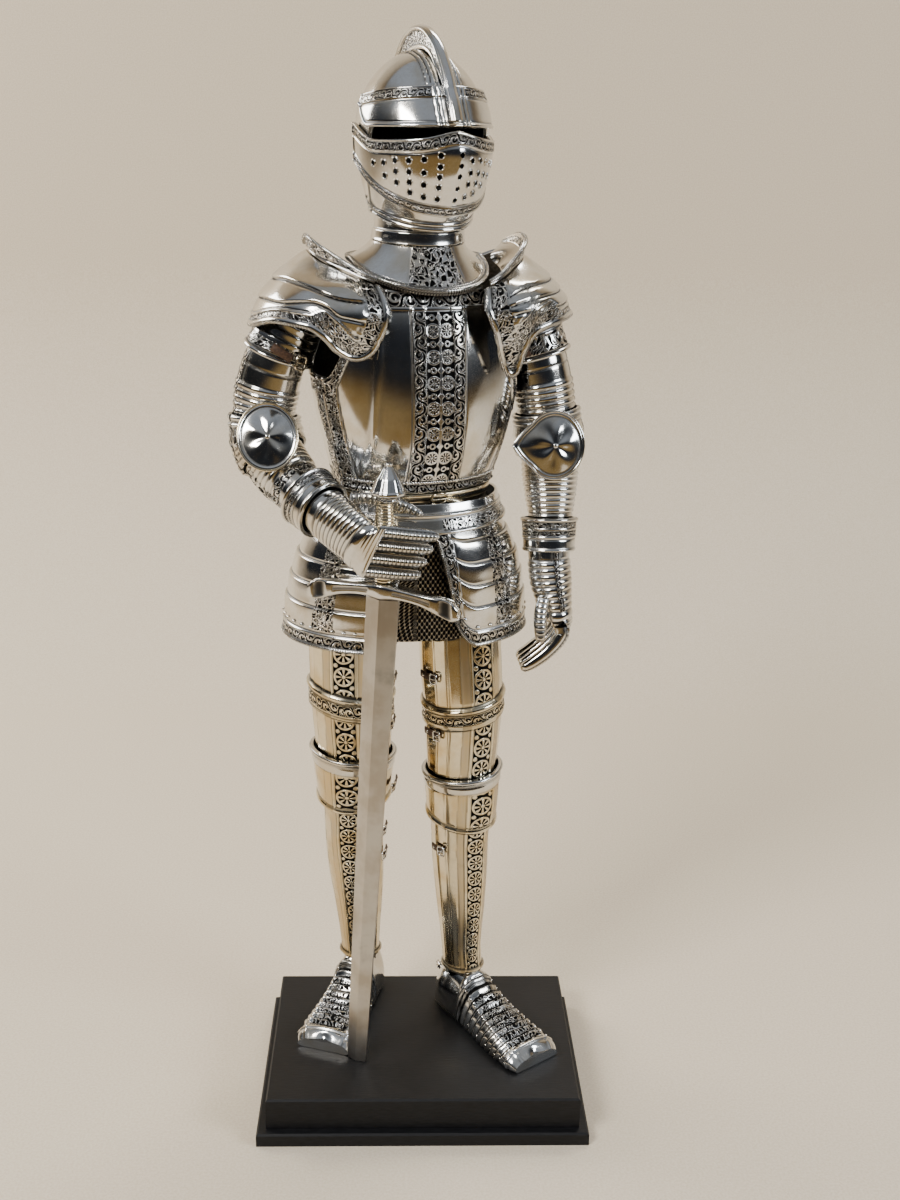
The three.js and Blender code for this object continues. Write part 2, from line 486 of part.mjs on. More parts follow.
function buildHelmet() {
  const away = u => 360 * Math.min(u, 1 - u)
  const rim = degrees => 419 - 35.2 * smooth((degrees - 66) / 30)
  add('helm_skull', plate(helmForm, {
    from: u => rim(away(u)), to: 443.4, columns: 24, innerRows: 5, cap: true,
    profile: [0, 0.15, 0.34, 0.54, 0.7, 0.84, 0.94, 1].map(v => [v, 0]),
  }))
  // The chin piece dips at the front and runs back under the rim of the skull
  const chin = u => 97.5 * Math.abs(2 * u - 1)
  add('helm_bevor', plate(helmForm, {
    from: u => 383.4 - 5.8 * Math.max(0, Math.cos(THREE.MathUtils.degToRad(chin(u)))),
    to: u => Math.min(390.6 + 19 * (chin(u) / 100) ** 2, Math.max(384.8, rim(chin(u)) - 1.2)), span: [-97.5, 97.5],
    columns: 26,
    profile: [[0, 0.8], [0.08, 0.8], [0.12, -0.1], [0.6, -0.1], [1, -0.1]],
  }))
  // Its upper edge peaks on the keel, dips over the cheeks and climbs to the pivots
  const cheek = u => 100 * Math.abs(2 * u - 1)
  add('helm_ventail', plate(helmForm, {
    from: u => 384.6 + 19 * (cheek(u) / 100) ** 2,
    to: u => 411.2 + 2.3 * Math.exp(-((cheek(u) / 15) ** 2)) + 6 * smooth((cheek(u) - 60) / 45), span: [-100, 100],
    columns: 20, lift: plateWall + gap, wall: 1.2, innerRows: 4,
    profile: [[0, 0.4], [0.03, 0.4], [0.05, 0.15], [0.1, 0.15], [0.12, 0.3], [0.15, 0], [0.45, 0], [0.82, 0], [0.84, 0.3],
      [1, 0.5]],
  }))
  const temple = u => 92 * Math.abs(2 * u - 1)
  add('helm_brow', plate(helmForm, {
    from: u => 415.4 + 8 * smooth((temple(u) - 72) / 24), to: u => 429.6 - 3.4 * (temple(u) / 92) ** 2, span: [-92, 92],
    columns: 18, lift: plateWall + gap, wall: 1.2,
    profile: [[0, 0.4], [0.08, 0.4], [0.14, 0], [0.5, 0], [0.74, 0], [0.77, 0.35], [1, 0.35]],
  }))
  // Comb: a fin from the brow over the crown to the nape; lie is the skull below it, edge its outer line
  const comb = table('ahead edge footAhead foot clear', [
    [32.4, 418.4, 29.2, 418.2, 2.4], [29.4, 425, 26, 424, 2.5], [26, 432, 20.8, 432.4, 2.8],
    [21.6, 438.6, 16.4, 437.6, 0.5], [16.8, 444.2, 12, 441.6, 0.5], [11, 448.6, 7.4, 443.6, 0.5],
    [4.2, 451.6, 2.6, 444.4, 0.5], [-3.6, 452.4, -3, 444.3, 0.5], [-11.4, 450.8, -8.6, 443.3, 0.5],
    [-18.2, 446.4, -14, 441.2, 0.5], [-24, 439.6, -19.2, 437.8, 0.5], [-28.2, 430.8, -24.6, 431.2, 0.5],
    [-30.6, 421, -28, 422, 0.5], [-30.8, 411, -29.2, 412, 0.5], [-29.2, 402.6, -28, 403, 0.5],
  ])
  const a = THREE.MathUtils.degToRad(headTurn)
  const ahead = new THREE.Vector3(Math.sin(a), -Math.cos(a), 0)
  const across = new THREE.Vector3(Math.cos(a), Math.sin(a), 0)
  add('helm_comb', loft(comb.map(r => {
    const foot = new THREE.Vector2(r.footAhead, r.foot), edge = new THREE.Vector2(r.ahead, r.edge)
    const rise = edge.clone().sub(foot)
    const tall = Math.max(rise.length(), r.clear + 2.2)
    rise.normalize()
    const spot = (t, w) => {
      const p = foot.clone().addScaledVector(rise, t)
      return new THREE.Vector3(-5, 20, p.y).addScaledVector(ahead, p.x).addScaledVector(across, w)
    }
    const low = r.clear
    return [spot(low, 2.6), spot(low + 0.6, 1.8), spot(tall - 1.5, 1.4), spot(tall - 1, 2.2), spot(tall, 1.2),
      spot(tall, -1.2), spot(tall - 1, -2.2), spot(tall - 1.5, -1.4), spot(low + 0.6, -1.8), spot(low, -2.6)]
  })))
}

// Shoulders: a domed pauldron with a front and a back wing, and its upstanding neck guard
const shoulderColumns = 'at x y side front back'
const shoulderRows = (x, y) => [
  [316, x, y, 35.4, 28.4, 26], [331, x, y, 35.4, 31, 27.8], [344, x, y, 33.2, 35.2, 28], [351, x, y, 30, 35.2, 26.6],
  [357, x, y, 25.6, 30.4, 23.4], [362, x, y, 20.8, 20.6, 19.8], [366, x, y, 15.8, 14.8, 15], [370, x, y, 9.4, 8.6, 9],
]
const shoulders = {
  R: {
    form: makeForm(shoulderColumns, shoulderRows(-37, 13), { turn: chestTurn, left: -1, square: 2.2 }), first: -16,
    wing: [[-16, 350], [-13, 342], [-10, 336], [-4.5, 332.8], [3.5, 331.4], [11, 332.4], [19.5, 335.8], [24.5, 339.6],
      [32, 343]],
  },
  L: {
    form: makeForm(shoulderColumns, shoulderRows(21.5, 29), { turn: chestTurn, square: 2.2 }), first: -21,
    wing: [[-21, 350], [-17, 344.5], [-14, 339], [-10.7, 331.6], [-6.7, 326], [-0.7, 323.1], [5.3, 323.9], [8, 327.5],
      [11, 336], [16, 341]],
  },
}

// Edge of a pauldron, as heights at angles from its front wing round the arm to its back wing
const edgeAt = (stops, degrees) => read(table('at z', stops), 'z', degrees)

function buildShoulder(name) {
  const { form, first, wing } = shoulders[name]
  const last = 200
  const low = [...wing, [42, 344], [60, 344], [90, 340.5], [130, 340.5], [158, 340], [178, 338], [200, 346]]
  const high = [[-34, 352.5], [-16, 357], [10, 362], [45, 366], [80, 368.4], [120, 368.4], [158, 366], [200, 359]]
  const angleOf = u => first + (last - first) * u
  add(`pauldron_${name}`, plate(form, {
    from: u => edgeAt(low, angleOf(u)), to: u => edgeAt(high, angleOf(u)), span: [first, last], columns: 20,
    lift: plateWall, innerRows: 4,
    profile: [[0, 0.6], [0.04, 0.6], [0.07, 0], [0.3, 0.7], [0.32, 0], [0.6, 0.7], [0.62, 0], [0.8, 0], [1, 0]],
  }))
  // Guard on the neck side of the pauldron: a flange dips in towards the neck, an upstand rises outside it
  const arc = a => Math.sin(Math.PI * Math.min(1, Math.max(0, (a - first) / (136 - first))))
  const around = steps(first + 4, 128, 16)
  const line = (reach, rise, inwards) => around.map(a => {
    const root = form.at(edgeAt(high, a), a, plateWall / 2)
    const lean = root.clone().sub(form.centre(366)).setZ(0).normalize()
    return root.addScaledVector(lean, reach(a) - inwards)
      .add(new THREE.Vector3(0, 0, 0.65 + rise(a)))
  })
  const flange = a => -2 - 9 * arc(a), drop = a => -0.5 - 4 * arc(a)
  const upstand = () => 1.4, crest = a => 1.6 + 4.6 * arc(a) ** 1.2
  const level = up => () => up
  add(`neck_guard_${name}`, wallBody(
    [line(flange, drop, 0), line(level(0), level(0), 0), line(upstand, crest, 0)],
    [line(flange, a => drop(a) + 1.2, 0), line(level(0), level(1.2), 0.9), line(upstand, a => crest(a) + 0.2, 1.2)],
    false, { kept: [0, 1, 2] }))
}

// Arms: mail sleeve, upper cannon, couter with its fan, lower cannon
const armColumns = 'at x y z side front back'
const arms = {
  R: {
    form: makeForm(armColumns, [
      [0, -44, -11, 272.2, 9.2, 9.2, 9.2], [9, -49.5, -5.2, 275.6, 10, 10, 10], [18, -55.4, 1.4, 279.8, 11.2, 11.2, 11.2],
      [27, -61, 7.2, 285.2, 12, 12, 12], [36, -65.2, 11.6, 292, 11.9, 11.9, 11.9], [47, -66.9, 13.6, 302.4, 11.7, 11.7, 11.7],
      [61, -65.2, 13.8, 315.6, 12.4, 12.4, 12.4], [75, -61, 13.2, 329, 11.6, 11.6, 11.6],
      [87, -55.8, 13, 340, 9.4, 9.4, 9.4], [97, -50.8, 13, 348.6, 9.2, 9.2, 9.2],
    ], { bent: true, faces: [0.31, -0.95, 0] }),
    elbow: 38, spots: { cannonFoot: 46, lamesFoot: 74, top: 82.4 },
  },
  L: {
    form: makeForm(armColumns, [
      [0, 51.4, 22, 248, 7.4, 7.4, 7.4], [10, 51.4, 24, 258, 8.4, 8.4, 8.4], [20, 51.2, 26, 268, 10.2, 10.2, 10.2],
      [30, 50.9, 28, 278, 11.4, 11.4, 11.4], [42, 50.2, 29.4, 290, 11.6, 11.6, 11.6], [54, 48.8, 30.4, 302, 11.6, 11.6, 11.6],
      [68, 46.4, 31.2, 316, 12, 12, 12], [80, 43.2, 31.8, 328, 11.8, 11.8, 11.8], [92, 39.4, 32, 340, 10.4, 10.4, 10.4],
      [102, 35, 32, 349, 9.4, 9.4, 9.4],
    ], { bent: true, faces: [0.31, -0.95, 0] }),
    elbow: 45, spots: { cannonFoot: 53, lamesFoot: 78, top: 92 },
  },
}

function buildArm(name) {
  const { form, elbow, spots } = arms[name]
  const outerSide = name === 'R' ? 0.75 : 0.25
  // A corded strip runs down the outer side of every plate of the arm
  const strip = u => (Math.abs(u - outerSide) < 0.04 ? 0.5 : 0)
  add(`mail_sleeve_${name}`, plate(form, {
    from: elbow - 14, to: spots.top + 8, columns: 14, innerRows: 5, lift: -plateWall - 0.9, wall: 1,
    profile: steps(0, 1, 6).map(v => [v, 0]),
  }), mail)
  add(`upper_cannon_${name}`, plate(form, {
    from: spots.cannonFoot, to: spots.lamesFoot + 6, columns: 14, innerRows: 4, profile: lames(4, 0.5), relief: strip,
  }))
  add(`spaudler_${name}`, plate(form, {
    from: spots.lamesFoot, to: spots.top, columns: 14, innerRows: 3, lift: 2.2, wall: 1.1,
    profile: [[0, 0.5], [0.06, 0.5], [0.1, 0], ...lames(3, 0.5).map(([v, h]) => [0.12 + 0.88 * v, h])], relief: strip,
  }))
  add(`lower_cannon_${name}`, plate(form, {
    from: 2.4, to: elbow - 4, columns: 14, innerRows: 4, relief: strip,
    profile: [[0, 0], [0.35, 0], [0.5, 0], [0.52, 0.4], [0.66, 0], [0.68, 0.4], [0.82, 0], [0.84, 0.4], [1, 0]],
  }))
  add(`couter_${name}`, plate(form, {
    from: elbow - 7, to: elbow + 11, columns: 14, innerRows: 3, lift: 2.5, wall: 1.2, relief: strip,
    profile: [[0, 0.4], [0.06, 0.4], [0.1, 0], [0.3, 0.2], [0.5, 0.9], [0.7, 0.2], [0.9, 0], [0.94, 0.4], [1, 0.4]],
  }))
}

// Couter fans: shallow shells on the inner side of each elbow
const fans = {
  R: { middle: [-64.4, -4.4, 298.6], faces: [0.08, -0.93, 0.36], wide: 12, tall: 13.6, point: 0, pointAt: 0 },
  L: { middle: [50.8, 12.6, 293], faces: [0.1, -0.98, 0.16], wide: 12.4, tall: 14, point: 5.2, pointAt: 180 },
}

function buildFan(name) {
  const { middle, faces, wide, tall, point, pointAt } = fans[name]
  const out = new THREE.Vector3(...faces).normalize()
  const across = new THREE.Vector3(0, 0, 1).cross(out).normalize()
  const up = new THREE.Vector3().crossVectors(out, across)
  const rim = a => {
    const near = Math.abs(((a - pointAt + 540) % 360) - 180)
    return 1 + point / wide * Math.max(0, 1 - near / 42) ** 1.6
  }
  const spot = (t, a, lift) => {
    const c = Math.cos(THREE.MathUtils.degToRad(a)), s = Math.sin(THREE.MathUtils.degToRad(a))
    return new THREE.Vector3(...middle).addScaledVector(across, wide * t * rim(a) * c)
      .addScaledVector(up, tall * t * rim(a) * s).addScaledVector(out, lift + 2.6 * (1 - t * t))
  }
  const around = steps(0, 360, 25).slice(0, -1)
  const outer = [1, 0.92, 0.87, 0.55].map((t, i) => around.map(a => spot(t, a, i < 2 ? 0.5 : 0)))
  const inner = [1, 0.55].map(t => around.map(a => spot(t, a, -plateWall)))
  add(`couter_fan_${name}`, wallBody(outer, inner, true, { cap: true }))
}

// Gauntlets
const handColumns = 'at x y z side front back'
const hands = {
  R: {
    form: makeForm(handColumns, [
      [0, -25.4, -29.2, 260.2, 10.8, 5.4, 5.2], [8, -31, -24.6, 264.6, 10.8, 7, 6.4], [16, -37, -19, 268.6, 10.6, 8.6, 8],
      [24, -42.6, -13, 271.8, 10.2, 9.8, 9.4], [31, -46.6, -8.4, 274, 10.2, 10.2, 10], [36, -49.4, -5.6, 275.6, 10.6, 10.6, 10.6],
    ], { bent: true, faces: [-0.45, -0.85, -0.2] }),
    cuffFrom: 23, cuffTo: 36,
  },
  L: {
    form: makeForm(handColumns, [
      [0, 55, 17.4, 217, 6.4, 9.8, 9.6], [8, 53.8, 18.4, 225, 7.4, 10, 9.6], [16, 52.4, 19.6, 233, 8.6, 9.8, 9.4],
      [25, 51.4, 21.2, 242, 8.8, 9.4, 9.2], [34, 51.2, 22.8, 251, 9.2, 9.4, 9.4], [44, 51.1, 24.8, 261, 9.8, 9.8, 9.8],
    ], { bent: true, faces: [0.05, -0.99, 0] }),
    cuffFrom: 29, cuffTo: 42.6,
  },
}

const fingerColumns = 'x y z tall wide'
// Each finger starts at the knuckles; rows run to its tip
const fingers = {
  R: steps(0, 3, 4).map(i => {
    const x = -19.8 - 2.3 * i, y = -31 + 0.3 * i, z = 268 - 5.3 * i
    return [[x, y, z, 2.5, 2.9], [x + 5, y + 0.2, z - 0.4, 2.5, 3], [x + 12, y + 0.5, z - 1.2, 2.45, 2.9],
      [x + 18, y + 1.1, z - 1.8, 2.3, 2.7], [x + 23, y + 2.2, z - 2.4, 1.7, 2]]
  }),
  L: steps(0, 3, 4).map(i => {
    const y = 10.2 + 5.1 * i, x = 56.6 - 0.3 * i
    return [[x, y, 215.4, 2.2, 3], [x + 0.4, y - 0.2, 211.6, 2.3, 3.1], [x - 4.6, y - 0.9, 205, 2.3, 2.9],
      [x - 11.6, y - 1.6, 199.4, 2.2, 2.6], [x - 16.6, y - 2, 196.6, 1.7, 1.9]]
  }),
}
const thumbs = {
  R: [[-31, -12.4, 276.4, 2.6, 2.6], [-25, -14, 277.2, 2.7, 2.7], [-17, -15, 276, 2.5, 2.5], [-9, -15.8, 273.6, 2.2, 2.2],
    [-3, -17, 271, 1.2, 1.2]],
  L: [[48.4, 7, 229, 2.6, 2.6], [47.2, 5.2, 222.6, 2.8, 2.8], [47.2, 4, 215.6, 2.6, 2.6], [47.4, 3.6, 210.4, 1.7, 1.8]],
}

function buildHand(name) {
  const { form, cuffFrom, cuffTo } = hands[name]
  add(`gauntlet_${name}`, plate(form, {
    from: 0, to: cuffFrom + 3, columns: 14, innerRows: 3,
    profile: [[0, 0.5], [0.08, 0.5], [0.11, 0], ...lames(5, 0.4).slice(1).map(([v, h]) => [0.14 + 0.86 * v, h])],
  }))
  add(`cuff_${name}`, plate(form, {
    from: cuffFrom, to: cuffTo, columns: 14, innerRows: 3, lift: plateWall + 0.4 + gap, wall: 1.3,
    profile: [[0, 0.2], [0.1, 0.2], [0.14, 0], [0.6, 0], [0.63, 0.4], [0.9, 0.4], [0.94, 0.8], [1, 0.7]],
  }))
  fingers[name].forEach((rows, i) =>
    add(`finger_${name}_${i + 1}`, bar(fingerColumns, rows, 8, name === 'R' ? [0, 0, 1] : [0, 1, 0])))
  add(`thumb_${name}`, bar(fingerColumns, thumbs[name], 8))
}

buildPlinth()
buildSword()
for (const name of ['R', 'L']) {
  buildFoot(name)
  buildLeg(name)
}
buildHips()
buildCuirass()
buildNeck()
buildHelmet()
for (const name of ['R', 'L']) {
  buildShoulder(name)
  buildArm(name)
  buildFan(name)
  buildHand(name)
}

export default figure
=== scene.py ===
# Plated statuette of a suit of plate armour on a black plinth. Metres, +Z up, the figure faces -Y.
# Plates are laid on the same forms as the solids, in millimetres, with their relief and etched bands.
import math
import bpy
import bmesh
import numpy as np
from mathutils import Matrix, Vector


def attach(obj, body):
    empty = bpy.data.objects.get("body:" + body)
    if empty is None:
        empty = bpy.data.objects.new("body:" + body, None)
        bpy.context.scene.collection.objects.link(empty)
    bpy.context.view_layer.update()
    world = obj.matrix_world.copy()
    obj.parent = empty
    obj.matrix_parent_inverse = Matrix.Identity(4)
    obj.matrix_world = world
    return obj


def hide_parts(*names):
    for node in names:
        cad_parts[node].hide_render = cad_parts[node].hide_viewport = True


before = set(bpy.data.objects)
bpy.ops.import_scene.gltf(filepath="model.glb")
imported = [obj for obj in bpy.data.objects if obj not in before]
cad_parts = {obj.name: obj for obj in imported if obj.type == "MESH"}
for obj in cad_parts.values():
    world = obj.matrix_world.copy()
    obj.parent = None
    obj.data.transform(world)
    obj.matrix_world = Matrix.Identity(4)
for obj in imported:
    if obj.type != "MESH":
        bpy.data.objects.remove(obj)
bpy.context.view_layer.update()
print("frame loaded")

mm = 0.001
plateWall = 1.3
headTurn, chestTurn, hipTurn = 23, 18, 8
soleTop, ankleTop = 20.8, 44.4


class Term:
    # a shader value that can be written in plain sums
    def __init__(self, tree, socket):
        self.tree, self.socket = tree, socket

    def op(self, kind, *others, clamp=False):
        node = self.tree.nodes.new("ShaderNodeMath")
        node.operation, node.use_clamp = kind, clamp
        for i, v in enumerate((self,) + others):
            if isinstance(v, Term):
                self.tree.links.new(v.socket, node.inputs[i])
            else:
                node.inputs[i].default_value = v
        return Term(self.tree, node.outputs[0])

    def __add__(self, o): return self.op("ADD", o)
    def __sub__(self, o): return self.op("SUBTRACT", o)
    def __mul__(self, o): return self.op("MULTIPLY", o)
    def __neg__(self): return self.op("MULTIPLY", -1.0)
    def fract(self): return self.op("FRACT")
    def sin(self): return self.op("SINE")
    def cos(self): return self.op("COSINE")
    def abs(self): return self.op("ABSOLUTE")
    def max(self, o): return self.op("MAXIMUM", o)
    def min(self, o): return self.op("MINIMUM", o)

    def ramp(self, low, high):
        # 0 below low, 1 above high, smooth between
        node = self.tree.nodes.new("ShaderNodeMapRange")
        node.interpolation_type = "SMOOTHSTEP"
        self.tree.links.new(self.socket, node.inputs["Value"])
        node.inputs["From Min"].default_value, node.inputs["From Max"].default_value = min(low,
            high), max(low, high)
        node.inputs["To Min"].default_value, node.inputs["To Max"].default_value = (0,
            1) if high > low else (1, 0)
        return Term(self.tree, node.outputs["Result"])


def radius(x, y):
    return (x * x + y * y).op("SQRT")


def startMaterial(name):
    material = bpy.data.materials.new(name)
    material.use_nodes = True
    tree = material.node_tree
    return material, tree, tree.nodes["Principled BSDF"]


def bandCoordinates(tree):
    # p runs along a band in band widths, q across it from 0 to 1
    uv = tree.nodes.new("ShaderNodeUVMap")
    uv.uv_map = "band"
    split = tree.nodes.new("ShaderNodeSeparateXYZ")
    tree.links.new(uv.outputs[0], split.inputs[0])
    return Term(tree, split.outputs[0]), Term(tree, split.outputs[1])


def noise(tree, scale, detail=3.0, stretch=(1, 1, 1), roughness=0.55):
    coordinates = tree.nodes.new("ShaderNodeTexCoord")
    mapping = tree.nodes.new("ShaderNodeMapping")
    mapping.inputs["Scale"].default_value = stretch
    tree.links.new(coordinates.outputs["Object"], mapping.inputs[0])
    node = tree.nodes.new("ShaderNodeTexNoise")
    node.inputs["Scale"].default_value = scale
    node.inputs["Detail"].default_value = detail
    node.inputs["Roughness"].default_value = roughness
    tree.links.new(mapping.outputs[0], node.inputs["Vector"])
    return Term(tree, node.outputs[0])


def colourMix(tree, amount, low, high):
    node = tree.nodes.new("ShaderNodeMix")
    node.data_type = "RGBA"
    # the colour sockets of this node are numbers 6 and 7 in, 2 out
    tree.links.new(amount.socket, node.inputs[0])
    for value, socket in ((low, node.inputs[6]), (high, node.inputs[7])):
        if isinstance(value, Term):
            tree.links.new(value.socket, socket)
        else:
            socket.default_value = (*value, 1)
    return Term(tree, node.outputs[2])


silverTone = {"bright": (0.74, 0.74, 0.73), "warm": (0.62, 0.57, 0.48), "patina": (0.006, 0.006, 0.006)}


def addBump(tree, shader, height, distance, strength=1.0):
    bump = tree.nodes.new("ShaderNodeBump")
    bump.inputs["Distance"].default_value = distance
    bump.inputs["Strength"].default_value = strength
    tree.links.new(height.socket, bump.inputs["Height"])
    tree.links.new(bump.outputs[0], shader.inputs["Normal"])


def finishPlate(tree, shader, relief, roughBright, roughDark, tones, bumpDepth, brushed=(1, 1, 1), wear=0.35):
    # relief is 1 where the metal is polished and 0 where the black patina stays
    # the point attribute dark carries black patina in the hollows of the relief, and painted shade on inner
    # faces, turned edges, the shoes' soles and their lame steps
    dark = tree.nodes.new("ShaderNodeAttribute")
    dark.attribute_name = "dark"
    recess = Term(tree, dark.outputs["Fac"])
    stain = noise(tree, 60, 4)
    fine = noise(tree, 900, 3, brushed)
    polished = recess.op("MULTIPLY_ADD", -1.0, 1.0)
    amount = polished if relief is None else polished * relief
    amount = amount * (stain.ramp(0.18, 0.42) * wear + (1 - wear))
    tinted = colourMix(tree, stain.ramp(0.42, 0.68), tones["bright"], tones["warm"])
    tinted = colourMix(tree, fine.ramp(0.35, 0.75) * 0.25, tinted, (0.55, 0.52, 0.47))
    colour = colourMix(tree, amount, tones["patina"], tinted)
    tree.links.new(colour.socket, shader.inputs["Base Color"])
    rough = amount * (roughBright - roughDark) + roughDark + (fine - 0.5) * 0.12
    tree.links.new(rough.max(0.06).socket, shader.inputs["Roughness"])
    shader.inputs["Metallic"].default_value = 1.0
    height = fine * 0.12 if relief is None else relief + fine * 0.1
    addBump(tree, shader, height, bumpDepth, 0.9)


def plainPlate(name, rough=0.13, brushed=(1, 1, 1), tones=silverTone, bumpDepth=0.00004, wear=0.2):
    material, tree, shader = startMaterial(name)
    finishPlate(tree, shader, None, rough, 0.5, tones, bumpDepth, brushed, wear)
    return material


def etchedPlate(name, pattern, rough=0.2, tones=silverTone, bumpDepth=0.00028):
    material, tree, shader = startMaterial(name)
    finishPlate(tree, shader, pattern(*bandCoordinates(tree)), rough, 0.55, tones, bumpDepth)
    return material


def borderLines(q, width=0.05):
    # a bright line along both sides of a band
    edge = (q - 0.5).abs()
    return edge.ramp(0.5 - width * 1.5, 0.5 - width * 0.8)


def scrollPattern(p, q):
    # a vine that swings from side to side with a spiral leaf in each bend
    x = p.fract() - 0.5
    flip = ((p * 0.5).fract() - 0.5).op("SIGN")
    y = (q - 0.5) * flip
    stem = (y + (p * math.pi).sin().abs() * 0.3 - 0.18).abs().ramp(0.08, 0.035)
    r = radius(x, y - 0.08)
    a = (y - 0.08).op("ARCTAN2", x)
    spiral = (a + r * 17.0).sin().ramp(0.15, 0.5) * r.ramp(0.4, 0.34)
    leaves = (a * 3.0 + r * 26.0).sin().ramp(0.5, 0.85) * r.ramp(0.28, 0.4)
    return stem.max(spiral).max(leaves * 0.9).max(borderLines(q, 0.035))


def wheelPattern(p, q):
    # spoked rosettes in a row with small leaves between them
    x, y = p.fract() - 0.5, q - 0.5
    r = radius(x, y)
    a = y.op("ARCTAN2", x)
    rim = (r - 0.39).abs().ramp(0.06, 0.03)
    spokes = (a * 8.0).cos().ramp(-0.1, 0.5) * r.ramp(0.36, 0.32) * r.ramp(0.09, 0.13)
    hub = r.ramp(0.1, 0.06)
    corner = radius((x.abs() - 0.5), (y.abs() - 0.34)).ramp(0.12, 0.07)
    return rim.max(spokes).max(hub).max(corner).max(borderLines(q, 0.04))


def fanPattern(p, q):
    # pairs of pleated fans on both sides of a stem, as on the middle of the breastplate
    pitch = 0.9
    along = p * (1 / pitch)
    x = (along.fract() - 0.5) * pitch
    between = ((along + 0.5).fract() - 0.5) * pitch
    across = (q - 0.5).abs()
    y = across - 0.25
    r = radius(x, y)
    a = y.op("ARCTAN2", x)
    rim = (r - 0.225).abs().ramp(0.045, 0.022)
    pleats = (a * 9.0).cos().ramp(-0.1, 0.4) * r.ramp(0.2, 0.18) * r.ramp(0.05, 0.075)
    hub = r.ramp(0.05, 0.03)
    stem = across.ramp(0.045, 0.022)
    leaf = (between.abs() * 0.9 + across).ramp(0.15, 0.11)
    curl = (radius(between, across - 0.27) - 0.085).abs().ramp(0.035, 0.018)
    tip = radius(between, across - 0.43).ramp(0.06, 0.04)
    return rim.max(pleats).max(hub).max(stem).max(leaf).max(curl).max(tip)


def foliagePattern(p, q):
    # dense leaf work: warped cells with bright veins and ringed middles
    tree, band, cellScale = p.tree, p.socket.node.inputs[0].links[0].from_socket, 2.4
    warp = tree.nodes.new("ShaderNodeTexNoise")
    warp.inputs["Scale"].default_value = 1.3
    warp.inputs["Detail"].default_value = 1.0
    tree.links.new(band, warp.inputs["Vector"])
    shifted = tree.nodes.new("ShaderNodeVectorMath")
    shifted.operation = "MULTIPLY_ADD"
    tree.links.new(warp.outputs["Color"], shifted.inputs[0])
    shifted.inputs[1].default_value = (0.9, 0.9, 0)
    tree.links.new(band, shifted.inputs[2])

    def cellDistance(feature):
        cells = tree.nodes.new("ShaderNodeTexVoronoi")
        cells.feature = feature
        cells.inputs["Scale"].default_value = cellScale
        tree.links.new(shifted.outputs[0], cells.inputs["Vector"])
        return Term(tree, cells.outputs["Distance"])
    toMiddle = cellDistance("F1")
    rings = (toMiddle * 30.0).sin().ramp(0.1, 0.7) * toMiddle.ramp(0.36, 0.3)
    return cellDistance("DISTANCE_TO_EDGE").ramp(0.12, 0.05).max(rings)


def ropePattern(p, q):
    return ((p * 2.2 + q * 0.8) * (2 * math.pi)).sin().ramp(-0.6, 0.2)


def ringMailPattern(p, q):
    # two sets of upright oval holes, one set shifted half a step both ways
    x, y = p.fract() - 0.5, q.fract() - 0.5
    xOdd, yOdd = (p + 0.5).fract() - 0.5, (q + 0.5).fract() - 0.5
    hole = radius(x * 3.0, y * 2.7).min(radius(xOdd * 3.0, yOdd * 2.7))
    wire = hole.ramp(0.8, 1.1)
    notch = (y * 12.0).sin().ramp(-1.0, 0.6) * 0.25 + 0.75
    return wire * notch


def grainyMaterial(name, scale, detail, stretch, low, high, bumpDepth):
    material, tree, shader = startMaterial(name)
    grain = noise(tree, scale, detail, stretch)
    tree.links.new(colourMix(tree, grain.ramp(0.3, 0.7), low, high).socket, shader.inputs["Base Color"])
    addBump(tree, shader, grain, bumpDepth)
    return material, tree, shader, grain


